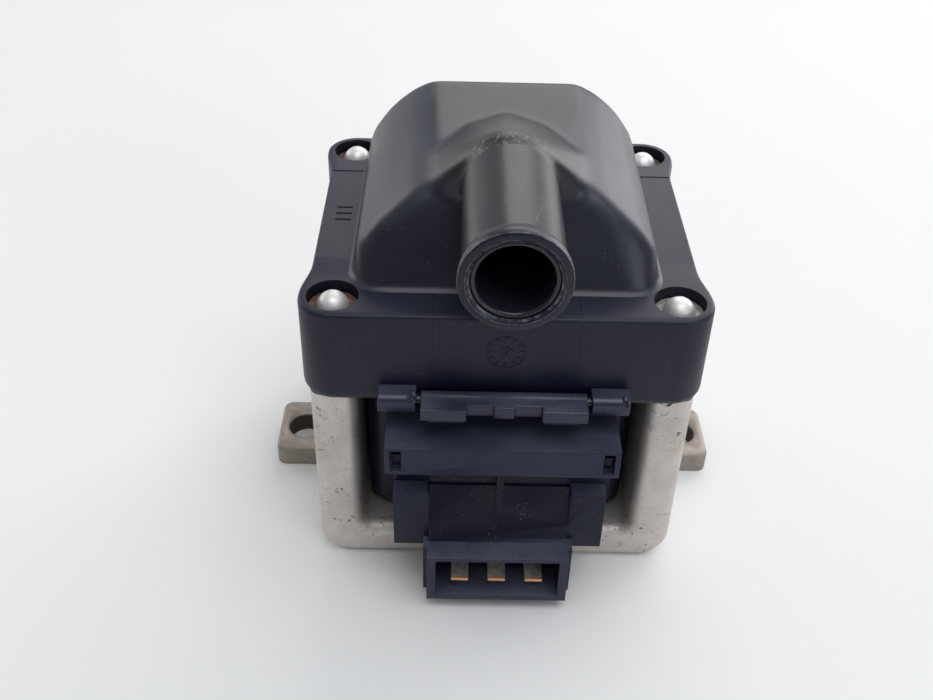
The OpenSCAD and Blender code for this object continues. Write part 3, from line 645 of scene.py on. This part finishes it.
def inner_plastic(name, light, dark, gloss, scale=0.2, metal=0.0):
    """A plain inner part with a cloudy colour and a fine grain."""
    finish = Finish(name)
    cloud = finish.noise(scale, 4.0, 0.6, 0.6)
    grain = finish.noise(2.8, 2.0)
    return finish.done(Base_Color=finish.blend(cloud.above(0.3, 0.7), light, dark),
                       Roughness=gloss + (cloud - 0.5) * 0.25, Metallic=metal,
                       Normal=finish.bump(grain * 0.6 + cloud * 0.4, 0.03))


INNER_FINISHES = {
    "hv_terminal": BRASS_FINISH,
    "hv_lead": COPPER_FINISH,
    "primary_leads": COPPER_FINISH,
    "heat_spreader": PLATE_FINISH,
    "module_screws": STEEL_FINISH,
    "flap_pin": LEAF_FINISH,
    "rivet_washers": WASHER_FINISH,
    "housing_skirt": HOUSING_FINISH,
    "core_stack": layered("core_sheets", "Y", 0.5, (0.36, 0.37, 0.40),
                          (0.07, 0.07, 0.08), 0.42, 0.9, 0.03),
    "core_yoke": layered("yoke_sheets", "Y", 0.5, (0.38, 0.39, 0.42),
                         (0.08, 0.08, 0.09), 0.40, 0.9, 0.03),
    "primary_winding": layered("thick_wire", "Z", 0.6, (0.55, 0.19, 0.06),
                               (0.12, 0.03, 0.01), 0.28, 0.7, 0.15),
    "secondary_winding": layered("fine_wire", "Z", 0.22, (0.46, 0.13, 0.04),
                                 (0.14, 0.035, 0.01), 0.34, 0.6, 0.05),
    "gap_magnet": inner_plastic("magnet_face", (0.10, 0.10, 0.11), (0.05, 0.05, 0.06),
                                0.38, 0.3, 0.6),
    "primary_bobbin": inner_plastic("bobbin_nylon", (0.62, 0.57, 0.46),
                                    (0.52, 0.47, 0.37), 0.45),
    "secondary_bobbin": inner_plastic("chamber_nylon", (0.66, 0.62, 0.52),
                                      (0.57, 0.52, 0.42), 0.45),
    "potting_compound": inner_plastic("cast_resin", (0.020, 0.018, 0.017),
                                      (0.035, 0.031, 0.028), 0.22, 0.1),
    "base_pad": inner_plastic("soft_pad", (0.035, 0.035, 0.036), (0.055, 0.053, 0.05), 0.75),
    "thermal_pad": inner_plastic("heat_pad", (0.46, 0.50, 0.54), (0.38, 0.42, 0.46), 0.6),
    "circuit_board": inner_plastic("white_ceramic", (0.72, 0.72, 0.68),
                                   (0.62, 0.61, 0.56), 0.35),
    "power_transistor": inner_plastic("chip_black", (0.020, 0.020, 0.021),
                                      (0.032, 0.031, 0.03), 0.5),
    "board_capacitors": inner_plastic("capacitor_body", (0.42, 0.26, 0.10),
                                      (0.33, 0.19, 0.07), 0.36),
}
for node_name, finish_made in INNER_FINISHES.items():
    NODES[node_name].data.materials.clear()
    NODES[node_name].data.materials.append(finish_made)
print(len(INNER_FINISHES), "inner nodes painted")

# %% [markdown]
# ## The base casting
# The base is a U, so it starts as one flat face with eight corners, pulled through
# its depth. The two lower outer corners are rounded generously, as a casting needs
# so the melt can flow, and the inner ones get a fillet. Then the whole front and
# back rim is rounded: that soft rim catches the light and is what makes it look
# cast rather than machined. The ears are a second plate joined on, then drilled.

# %% Build base_casting
LEG_T = 10.5
FLOOR_T = 9.4
CORNER_R = 7.5
INNER_R = 3.0
RIM_R = 2.9
EAR_T = 5.8
EAR_REACH = BASE_HIGH.x
EAR_HALF = 10.0
SCREW_X = 16.0
SCREW_Y = -34.6
BASE_HD = BASE_HIGH.y
BASE_TOP = BASE_HIGH.z


def is_along_y(edge, x, z):
    """True for the long edge that runs front to back at a given x and z."""
    first, last = edge.verts
    return abs(first.co.y - last.co.y) > 1 and all(
        abs(abs(v.co.x) - x) < 0.01 and abs(v.co.z - z) < 0.01 for v in edge.verts)


bench = bmesh.new()
inner_x = BASE_HW - LEG_T
u_outline = [(-BASE_HW, -BASE_HD, 0), (BASE_HW, -BASE_HD, 0),
             (BASE_HW, -BASE_HD, BASE_TOP), (inner_x, -BASE_HD, BASE_TOP),
             (inner_x, -BASE_HD, FLOOR_T), (-inner_x, -BASE_HD, FLOOR_T),
             (-inner_x, -BASE_HD, BASE_TOP), (-BASE_HW, -BASE_HD, BASE_TOP)]
add_plate(bench, u_outline, (0, 2 * BASE_HD, 0))
round_edges(bench, [e for e in bench.edges if is_along_y(e, BASE_HW, 0)], CORNER_R, 14)
round_edges(bench, [e for e in bench.edges if is_along_y(e, inner_x, FLOOR_T)], INNER_R, 6)
rims = [e for e in bench.edges
        if abs(abs(e.verts[0].co.y) - BASE_HD) < 0.01
        and abs(e.verts[0].co.y - e.verts[1].co.y) < 0.01
        and min(v.co.z for v in e.verts) < BASE_TOP - 0.01]
round_edges(bench, rims, RIM_R, 6, False)

ears = bmesh.new()
ear_outline = [(-EAR_REACH, EAR_HOLE_Y - EAR_HALF, 0), (EAR_REACH, EAR_HOLE_Y - EAR_HALF, 0),
               (EAR_REACH, EAR_HOLE_Y + EAR_HALF, 0), (-EAR_REACH, EAR_HOLE_Y + EAR_HALF, 0)]
add_plate(ears, ear_outline, (0, 0, EAR_T))
round_edges(ears, [e for e in ears.edges
                   if abs(e.verts[0].co.z - e.verts[1].co.z) > 1], 2.6, 5)
round_edges(ears, [e for e in ears.edges
                   if min(v.co.z for v in e.verts) > EAR_T - 0.01], 0.9, 3)
drills = bmesh.new()
mouths = bmesh.new()
up = Vector((0, 0, 1))
for side in (-1, 1):
    hole = Vector((side * EAR_HOLE_X, EAR_HOLE_Y, 0))
    add_rod(drills, hole - up, hole + up * (EAR_T + 1), EAR_HOLE_R)
    add_rod(mouths, hole + up * (EAR_T - 0.8), hole + up * (EAR_T + 0.2), EAR_HOLE_R,
            EAR_HOLE_R + 1.25)
ears = carve(carve(ears, drills), mouths)

sinks = bmesh.new()
threads = bmesh.new()
for side in (-1, 1):
    screw = Vector((side * SCREW_X, SCREW_Y, 0))
    add_rod(sinks, screw - up, screw + up * 2.4, 3.1, segments=32)
    add_rod(threads, screw + up, screw + up * (FLOOR_T + 1), 1.7, segments=32)
bench = carve(carve(bench, sinks), threads)
bench = carve(bench, ears, "UNION")
base = make_piece("base_casting", merge_flats(bench), "coil", "base_frame",
                  CAST_FINISH)
soften(base, 0.5, 2, 50)

# %% [markdown]
# ## The housing flange
# The flange is the thick frame that clamps over the base. Its outline has a round
# boss at each corner and sides that are drawn in between them. Twelve points carry
# the outline; rounding the upright edges makes the bosses. The rivet wells are cut
# with four rods, and a very shallow tray is cut in each long side, where the real
# mould was made in separate inserts. Two boxes hollow it from below for the resin.

# %% Build housing_flange
BOSS_Y = FLANGE_HD - BOSS_R - 2.5
WAIST_Y = FLANGE_HD - 18
outline_right = [(FLANGE_HW, -FLANGE_HD), (FLANGE_HW, -BOSS_Y),
                 (FLANGE_HW - WAIST, -WAIST_Y), (FLANGE_HW - WAIST, WAIST_Y),
                 (FLANGE_HW, BOSS_Y), (FLANGE_HW, FLANGE_HD)]
flange_outline = [(x, y, FLANGE_Z0) for x, y in outline_right]
flange_outline += [(-x, y, FLANGE_Z0) for x, y in reversed(outline_right)]
bench = bmesh.new()
add_plate(bench, flange_outline, (0, 0, FLANGE_Z1 - FLANGE_Z0))


def is_upright(edge):
    """True for an edge that runs up the flange's side."""
    return abs(edge.verts[0].co.z - edge.verts[1].co.z) > 1


corners = [e for e in bench.edges if is_upright(e) and abs(e.verts[0].co.y) > FLANGE_HD - 0.1]
round_edges(bench, corners, BOSS_R, 14)
turns = [e for e in bench.edges if is_upright(e)
         and any(abs(abs(e.verts[0].co.y) - y) < 0.1 for y in (WAIST_Y, BOSS_Y))]
round_edges(bench, turns, 2.0, 4)
round_edges(bench, [e for e in bench.edges
                    if min(v.co.z for v in e.verts) > FLANGE_Z1 - 0.01], 0.85, 3)
round_edges(bench, [e for e in bench.edges
                    if max(v.co.z for v in e.verts) < FLANGE_Z0 + 0.01], 2.8, 6, False)

WELL_R = 5.7
WELL_DEPTH = 3.4
TRAY_DEPTH = 0.16
TRAY_X = 39
TRAY_HW = 5.2
wells = bmesh.new()
for side_x in (-1, 1):
    for side_y in (-1, 1):
        centre = Vector((side_x * RIVET_X, side_y * RIVET_Y, FLANGE_Z1))
        add_rod(wells, centre - Vector((0, 0, WELL_DEPTH)), centre + Vector((0, 0, 2)), WELL_R,
                segments=72)
bench = carve(bench, wells)
trays = bmesh.new()
for side_x in (-1, 1):
    add_box(trays, (side_x * TRAY_X - TRAY_HW, -18.3, FLANGE_Z1 - TRAY_DEPTH),
            (side_x * TRAY_X + TRAY_HW, 22, FLANGE_Z1 + 2))
bench = carve(bench, trays)
inside = bmesh.new()
add_box(inside, (-31.6, -30.1, FLANGE_Z0 - 2), (31.6, 34.1, FLANGE_Z0 + 3.02))
bench = carve(bench, inside)
room = bmesh.new()
add_box(room, (-28, -28, FLANGE_Z0 + 2.5), (28, 30, FLANGE_Z1 - 3))
bench = carve(bench, room)
flange = make_piece("housing_flange", merge_flats(bench), "coil", "coil_housing",
                    HOUSING_FINISH)
soften(flange, 0.22, 2, 40)

# %% [markdown]
# ## The dome and the tent under the tower
# The dome is the hard shape of this object: a soft block with sloping sides, and a
# tent of plastic that rises out of its flat top to carry the tower. Both are wrapped
# skins, so each starts as a few balls and rods and a convex hull is pulled over
# them. The hulls are then melted into one skin with a voxel remesh, and smoothing
# its vertices turns every sharp valley into the fillet that a mould maker cuts.
# Cutting the bottom off just above the flange leaves a thin flared foot, and the
# shell stays open underneath, where it stands on the flange.

# %% Build housing_dome
DOME_Y0 = -FLANGE_HD + 10
DOME_Y1 = FLANGE_HD - 10
DOME_HW = 33.6
EDGE_R = 5.0
UPRIGHT_R = 6.5
VOXEL = 0.5
SMOOTHING = 24
FOOT_TRIM = 0.14


def wrap(bm):
    """Pulls a convex skin over everything that is on the bench."""
    bmesh.ops.delete(bm, geom=bm.edges[:] + bm.faces[:], context="EDGES_FACES")
    bmesh.ops.convex_hull(bm, input=bm.verts[:])
    loose = [v for v in bm.verts if not v.link_faces]
    bmesh.ops.delete(bm, geom=loose, context="VERTS")
    return bm


def merge_into(target, source):
    """Copies one bench onto another."""
    scratch = bpy.data.meshes.new("scratch")
    source.to_mesh(scratch)
    source.free()
    target.from_mesh(scratch)
    bpy.data.meshes.remove(scratch)


body = bmesh.new()
for side in (-1, 1):
    for y in (DOME_Y0 + UPRIGHT_R, DOME_Y1 - UPRIGHT_R):
        foot = Vector((side * (DOME_HW - UPRIGHT_R), y, FLANGE_Z1 - 5))
        add_rod(body, foot, foot + Vector((0, 0, 6)), UPRIGHT_R)
    for inset, y, drop in ((5.3, DOME_Y0 + 9, 18.8), (8.0, DOME_Y0 + 10, 15.6),
                           (11, DOME_Y0 + 11, 13.2), (15.1, DOME_Y0 + 12.8, 9.9),
                           (19.6, DOME_Y0 + 14.6, 7.2), (5.1, DOME_Y1 - 5.6, 18.5),
                           (6.0, DOME_Y1 - 5.7, 15.6), (7.6, DOME_Y1 - 5.8, 13.2),
                           (9.3, DOME_Y1 - 5.9, 10.9), (11.3, DOME_Y1 - 6, 8.9),
                           (14.1, DOME_Y1 - 6.2, 6.6), (17.1, DOME_Y1 - 6.4, 5)):
        add_ball(body, (side * (DOME_HW - inset), y, DOME_TOP - drop), EDGE_R)
wrap(body)

tent = bmesh.new()
TENT_Y0 = DOME_Y0 + 9
add_rod(tent, (0, TENT_Y0, TOWER_Z), (0, TENT_Y0 + 3.6, TOWER_Z), TOWER_R + 0.3)
add_ball(tent, (0, DOME_Y0 + 39, DOME_TOP - 1.6), 1.4)
for side in (-1, 1):
    add_ball(tent, (side * 8.5, DOME_Y0 + 33.5, DOME_TOP - 2.1), 1.4)
    add_ball(tent, (side * 17, DOME_Y0 + 24, DOME_TOP - 4.0), 1.4)
    add_ball(tent, (side * (DOME_HW - 19.6), DOME_Y0 + 14.6, DOME_TOP - 7.2), EDGE_R)
wrap(tent)

merge_into(body, tent)
add_rod(body, (0, -36, TOWER_Z), (0, DOME_Y0 + 12, TOWER_Z), TOWER_R - 0.3)
add_box(body, (-DOME_HW - 2.6, DOME_Y0 - 2.6, FLANGE_Z1 - 4),
        (DOME_HW + 2.6, DOME_Y1 + 2.6, FLANGE_Z1))
skin = bench_to_object("dome_skin", body)
remesh = skin.modifiers.new("melt", "REMESH")
remesh.mode = "VOXEL"
remesh.voxel_size = VOXEL * MM
settle(skin)
bench = bmesh.new()
bench.from_mesh(skin.data)
bpy.data.objects.remove(skin)
bmesh.ops.scale(bench, vec=(1 / MM, 1 / MM, 1 / MM), verts=bench.verts[:])
for turn in range(SMOOTHING):
    bmesh.ops.smooth_vert(bench, verts=bench.verts[:], factor=0.5,
                          use_axis_x=True, use_axis_y=True, use_axis_z=True)
cut = FLANGE_Z1 + FOOT_TRIM
bmesh.ops.bisect_plane(bench, geom=bench.verts[:] + bench.edges[:] + bench.faces[:],
                       plane_co=(0, 0, cut), plane_no=(0, 0, 1), clear_inner=True)
bmesh.ops.translate(bench, vec=(0, 0, -FOOT_TRIM + 0.01), verts=bench.verts[:])
dome = make_piece("housing_dome", bench, "coil", "coil_housing", DOME_FINISH)
print("dome skin", len(dome.data.vertices), "vertices")

# %% [markdown]
# ## The tower and its liner
# A tower like this is a turned shape, so half its wall is drawn once as a row of
# points, radius and depth, and spun round the tower's axis. The row goes up the
# inside of the wall, round the flared lip and back down the outside. The liner is
# the paler ring inside the mouth, spun the same way. The throat is the narrower
# wall behind it.

# %% Build housing_tower and tower_liner
LINER_R = 8.5
SOCKET_R = 7.4
TOWER_ROOT_Y = -24.0
TOWER_AXIS = Vector((0, 0, TOWER_Z))


def spun_piece(profile, steps=128):
    """Spins rows of (radius, depth) round the tower's axis."""
    bm = bmesh.new()
    points = [(radius, depth, TOWER_Z) for radius, depth in profile]
    add_turned(bm, points + points[:1], TOWER_AXIS, (0, 1, 0), steps)
    return bm


tower_profile = [
    (LINER_R + 0.05, TOWER_ROOT_Y), (LINER_R + 0.05, MOUTH_Y + 0.72), (9.28, MOUTH_Y + 0.12),
    (9.40, MOUTH_Y), (9.54, MOUTH_Y + 0.10), (10.55, MOUTH_Y + 0.14),
    (10.86, MOUTH_Y + 0.30), (LIP_R - 0.02, MOUTH_Y + 0.62), (LIP_R - 0.02, MOUTH_Y + 2.2),
    (10.85, MOUTH_Y + 2.8), (10.45, MOUTH_Y + 3.7), (10.2, MOUTH_Y + 4.5),
    (TOWER_R, MOUTH_Y + 5.3), (TOWER_R, TOWER_ROOT_Y)]
tower = make_piece("housing_tower", spun_piece(tower_profile), "coil",
                   "coil_housing", TOWER_FINISH)
soften(tower, 0.12, 2, 30)

liner_profile = [
    (SOCKET_R, LINER_HIGH.y), (SOCKET_R, LINER_LOW.y + 0.75), (SOCKET_R + 0.28, LINER_LOW.y + 0.2),
    (SOCKET_R + 0.6, LINER_LOW.y + 0.03), (LINER_R - 0.15, LINER_LOW.y + 0.05),
    (LINER_R, LINER_LOW.y + 0.25), (LINER_R, LINER_HIGH.y)]
liner = make_piece("tower_liner", spun_piece(liner_profile), "coil",
                   "tower_sleeve", LINER_FINISH)

throat_profile = [(4.6, LINER_HIGH.y + 0.1), (8.45, LINER_HIGH.y + 0.1),
                  (8.45, LINER_HIGH.y + 8.5), (4.6, LINER_HIGH.y + 8.5)]
throat = make_piece("tower_throat", spun_piece(throat_profile, 72), "coil",
                    "coil_housing", TOWER_FINISH)

# %% [markdown]
# ## Hinge blocks with torn flash
# Two short blocks on the front of the flange hold the keeper's pin, and two ledges
# between them carry the keeper when it is down. Where the blocks were
# cut from the moulding's runner, thin curls of plastic were left. A block is a box
# with a rounded back; a curl is a short edge, spun part of a turn into a ribbon and
# given a little thickness.

# %% Build hinge_blocks
STUB_X0 = 19.2
STUB_X1 = 27.6
STUB_Y = -45.1
STUB_Z0 = 53.3
STUB_Z1 = 57.5
LEDGE_X0 = 8.7
LEDGE_X1 = 16.7
LEDGE_Y = -46.8
bench = bmesh.new()
for side in (-1, 1):
    x0, x1 = sorted((side * STUB_X0, side * STUB_X1))
    add_box(bench, (x0, STUB_Y, STUB_Z0), (x1, -40.2, STUB_Z1))
front_tops = [e for e in bench.edges
              if all(abs(v.co.y - STUB_Y) < 0.01 and v.co.z > STUB_Z1 - 0.01 for v in e.verts)]
round_edges(bench, front_tops, 1.6, 6)
front_feet = [e for e in bench.edges
              if all(abs(v.co.y - STUB_Y) < 0.01 and v.co.z < STUB_Z0 + 0.01 for v in e.verts)]
round_edges(bench, front_feet, 0.5, 2)
for side in (-1, 1):
    x0, x1 = sorted((side * LEDGE_X0, side * LEDGE_X1))
    add_box(bench, (x0, LEDGE_Y, FLANGE_Z0), (x1, -44.9, 53.7))
    add_box(bench, (x0, LEDGE_Y, FLANGE_Z0), (x1, -40.3, 53.2))
blocks = make_piece("hinge_blocks", bench, "coil", "coil_housing", LEAF_FINISH)
soften(blocks, 0.3, 2, 40)


def add_curl(bm, centre, radius, width, start, sweep, squeeze):
    """A ribbon of flash: a short edge spun part of a turn about the X direction."""
    x, y, z = centre
    first = Vector((x, y + radius * math.cos(start), z + radius * math.sin(start)))
    row = [bm.verts.new(first), bm.verts.new(first + Vector((width, squeeze, 0)))]
    edge = bm.edges.new(row)
    bmesh.ops.spin(bm, geom=row + [edge], cent=centre, axis=(1, 0, 0), angle=sweep,
                   steps=10, use_merge=False)


bench = bmesh.new()
add_curl(bench, (-20.5, -43.6, 57.25), 0.75, 1.3, -0.6, 3.9, 0.25)
add_curl(bench, (-21.3, -44.3, 56.9), 0.5, 0.8, 0.2, 4.4, -0.15)
add_curl(bench, (-20.0, -44.9, 56.2), 0.4, 0.7, 0.9, 3.2, 0.1)
add_curl(bench, (25.9, -43.9, 57.15), 0.8, 1.2, -0.3, 3.6, -0.2)
add_curl(bench, (26.7, -44.6, 56.6), 0.55, 0.8, 0.3, 4.0, 0.2)
bmesh.ops.solidify(bench, geom=bench.faces[:], thickness=0.16)
bmesh.ops.recalc_face_normals(bench, faces=bench.faces[:])
flash = make_piece("torn_flash", bench, "coil", None, LEAF_FINISH)

# %% [markdown]
# ## The moulder's marks
# A mould leaves its own drawing on the plastic: thin lines where its inserts meet,
# three short ribs on one side, and a date clock, a ring of ticks with an arrow that
# shows when the part was made. They stand under a fifth of a millimetre proud, but
# they say moulded plastic more clearly than any colour can. The clock here has
# plain ticks and no figures.

# %% Build mould_marks
MARK_Y = -FLANGE_HD
CLOCK_Z = 67.1
CLOCK_R = 4.1
SEAM_X = 15.8
SEAM_HW = 0.06
bench = bmesh.new()
for step in range(12):
    turn = Matrix.Rotation(math.tau * step / 12, 4, "Y")
    tick = add_box(bench, (-0.32, -0.16, CLOCK_R - 1.15), (0.32, 0.1, CLOCK_R - 0.15))
    bmesh.ops.transform(bench, matrix=Matrix.Translation((0.1, MARK_Y, CLOCK_Z)) @ turn,
                        verts=tick)
for low, high, lean in (((-0.22, -0.18, -1.9), (0.22, 0.1, 1.6), 0.25),
                        ((-0.2, -0.18, -0.1), (0.2, 0.1, 1.5), 0.95),
                        ((-0.2, -0.18, -0.1), (0.2, 0.1, 1.5), -0.5)):
    bar = add_box(bench, low, high)
    lift = Matrix.Translation((0.1, MARK_Y, CLOCK_Z)) @ Matrix.Rotation(lean, 4, "Y")
    bmesh.ops.transform(bench, matrix=lift, verts=bar)
ring = bmesh.new()
rim = [(CLOCK_R, 0.1), (CLOCK_R, -0.12), (CLOCK_R + 0.22, -0.12), (CLOCK_R + 0.22, 0.1)]
points = [(0.1 + radius, MARK_Y + depth, CLOCK_Z) for radius, depth in rim]
add_turned(ring, points + points[:1], (0.1, MARK_Y, CLOCK_Z), (0, 1, 0), 64)
merge_into(bench, ring)
for y in (-1.6, 1.2, 4.0):
    add_box(bench, (-39.9, y, FLANGE_Z1 - TRAY_DEPTH - 0.1), (-36.2, y + 1.0, FLANGE_Z1 + 0.04))
for side in (-1, 1):
    x0 = side * SEAM_X - SEAM_HW
    x1 = side * SEAM_X + SEAM_HW
    add_box(bench, (x0, MARK_Y - 0.05, FLANGE_Z0 + 3), (x1, MARK_Y + 0.2, FLANGE_Z1 - 1))
    add_box(bench, (x0, MARK_Y + 0.9, FLANGE_Z1 - 0.2), (x1, DOME_Y0 - 1, FLANGE_Z1 + 0.06))
marks = make_piece("mould_marks", bench, "coil", None, HOUSING_FINISH)
soften(marks, 0.04, 1, 40)

# %% [markdown]
# ## The driver module, its hood and the keeper
# The engineering shapes of these three are already right, but their edges are
# perfectly sharp. A copy of each mesh is merged into real faces and softened, which
# is all that a good moulding needs.

# %% Build module_body, module_hood and keeper_leaf
module = make_piece("module_body", bench_copy("module_case"), "coil",
                    "module_case", MODULE_FINISH)
soften(module, 0.32, 2, 30)
hood = make_piece("module_hood", bench_copy("module_cover"), "coil",
                  "module_cover", HOOD_FINISH)
soften(hood, 0.28, 3, 30)
leaf = make_piece("keeper_leaf", bench_copy("keeper_flap"), "keeper",
                  "keeper_flap", LEAF_FINISH)
soften(leaf, 0.28, 2, 40)

# %% [markdown]
# ## Rivets and blades
# The rivet heads are low domes, slightly flattened by the tool that set them. The
# three blades are flat strips with a chamfered tip, bent up into the module.

# %% Build rivet_heads and socket_blades
HEAD_R = 3.6
WASHER_T = 0.7
head_base = FLANGE_Z1 - WELL_DEPTH + WASHER_T
HEAD_TOP = RIVETS_HIGH.z
head_rows = [(0, HEAD_TOP), (0.9, HEAD_TOP - 0.02), (1.7, HEAD_TOP - 0.32),
             (2.5, HEAD_TOP - 0.95), (3.1, HEAD_TOP - 1.75), (3.45, HEAD_TOP - 2.5),
             (HEAD_R, head_base + 0.45), (HEAD_R - 0.05, head_base), (2.5, head_base - 0.02),
             (2.5, RIVETS_LOW.z), (0, RIVETS_LOW.z)]
bench = bmesh.new()
for side_x in (-1, 1):
    for side_y in (-1, 1):
        rivet = bmesh.new()
        centre = Vector((side_x * RIVET_X, side_y * RIVET_Y, 0))
        points = [centre + Vector((radius, 0, height)) for radius, height in head_rows]
        add_turned(rivet, points, centre, (0, 0, 1), 48)
        merge_into(bench, rivet)
rivets = make_piece("rivet_heads", bench, "coil", "corner_rivets", RIVET_FINISH)
rivets.data.set_sharp_from_angle(angle=math.radians(50))

blades = make_piece("socket_blades", bench_copy("terminal_blades"), "coil",
                    "terminal_blades", BLADE_FINISH)
soften(blades, 0.2, 2, 40)

# %% [markdown]
# ## The studio
# The coil stands on a pale sheet in soft daylight. The floor is nearly white and
# rough. The world's light is weakest from the front and strongest from the back, so
# the front faces fall darker than the top. Five soft lamps stand for a room: three
# windows, behind, on the right and on the left, a large ceiling lamp, and a small
# cool fill at the front. Big lamps are what make black plastic readable, because
# their reflections draw the rounded edges. The Standard view keeps the blacks deep.

# %% Build the floor, the light and the camera
def floor_finish():
    """A pale matt sheet with a faint unevenness."""
    finish = Finish("pale_sheet")
    cloud = finish.noise(0.004, 2.0)
    grain = finish.noise(0.6, 3.0)
    colour = finish.blend(cloud, (0.80, 0.80, 0.785), (0.84, 0.84, 0.825))
    return finish.done(Base_Color=colour, Roughness=0.75 + (grain - 0.5) * 0.1,
                       Normal=finish.bump(grain, 0.01))


bench = bmesh.new()
bmesh.ops.create_grid(bench, x_segments=8, y_segments=8, size=2500)
sheet = bench_to_object("pale_floor", bench)
sheet.data.materials.append(floor_finish())


def add_lamp(name, place, target, size, power, colour):
    """A soft rectangular lamp aimed at a point; sizes in metres."""
    light = bpy.data.lights.new(name, "AREA")
    light.shape = "RECTANGLE"
    light.size, light.size_y = size
    light.energy = power
    light.color = colour
    lamp = bpy.data.objects.new(name, light)
    lamp.location = place
    aim = Vector(target) - Vector(place)
    lamp.rotation_euler = aim.to_track_quat("-Z", "Y").to_euler()
    bpy.context.scene.collection.objects.link(lamp)
    return lamp


MIDDLE = (0, 0, 0.05)
FRONT_LIGHT = 0.22
BACK_LIGHT = 0.60
add_lamp("window_back", (0.50, 1.10, 0.85), MIDDLE, (1.6, 0.8), 8.0, (1.0, 0.985, 0.965))
add_lamp("window_right", (1.05, 0.95, 0.30), MIDDLE, (0.8, 0.6), 3.8, (0.97, 0.98, 1.0))
add_lamp("window_left", (-1.0, 0.75, 0.45), MIDDLE, (0.7, 0.6), 2.4, (1.0, 0.985, 0.96))
add_lamp("ceiling", (0.25, -0.30, 1.4), MIDDLE, (1.3, 1.0), 10.0, (0.95, 0.97, 1.0))
add_lamp("front_fill", (0.75, -0.85, 0.45), MIDDLE, (0.6, 0.4), 2.2, (0.85, 0.91, 1.0))

world = bpy.data.worlds.new("soft_daylight")
world.use_nodes = True
sky = world.node_tree
direction = sky.nodes.new("ShaderNodeTexCoord").outputs["Generated"]
split = sky.nodes.new("ShaderNodeSeparateXYZ")
ramp = sky.nodes.new("ShaderNodeMapRange")
for name, value in (("From Min", -1.0), ("From Max", 0.6),
                    ("To Min", FRONT_LIGHT), ("To Max", BACK_LIGHT)):
    ramp.inputs[name].default_value = value
sky.links.new(direction, split.inputs["Vector"])
sky.links.new(split.outputs["Y"], ramp.inputs["Value"])
backdrop = sky.nodes["Background"]
backdrop.inputs["Color"].default_value = (0.92, 0.95, 1.0, 1)
sky.links.new(ramp.outputs["Result"], backdrop.inputs["Strength"])
bpy.context.scene.world = world
bpy.context.scene.view_settings.view_transform = "Standard"

PITCH = math.radians(37.85)
YAW = math.radians(0.84)
ROLL = math.radians(1.61)
LENS_MM = 42.71
EYE = Vector((-11.2, -227.8, 213.1)) * MM
ahead = Vector((math.sin(YAW) * math.cos(PITCH), math.cos(YAW) * math.cos(PITCH),
                -math.sin(PITCH)))
level = Vector((math.cos(YAW), -math.sin(YAW), 0))
upward = level.cross(ahead)
right = level * math.cos(ROLL) + upward * math.sin(ROLL)
above = upward * math.cos(ROLL) - level * math.sin(ROLL)
lens = bpy.data.cameras.new("camera")
lens.sensor_width = 36.0
lens.lens = LENS_MM
lens.clip_start = 0.01
lens.clip_end = 20
camera = bpy.data.objects.new("camera", lens)
turn = Matrix((right, above, -ahead)).transposed().to_4x4()
camera.matrix_world = Matrix.Translation(EYE) @ turn
bpy.context.scene.collection.objects.link(camera)
bpy.context.scene.camera = camera
print("lens", round(lens.lens, 2), "mm")
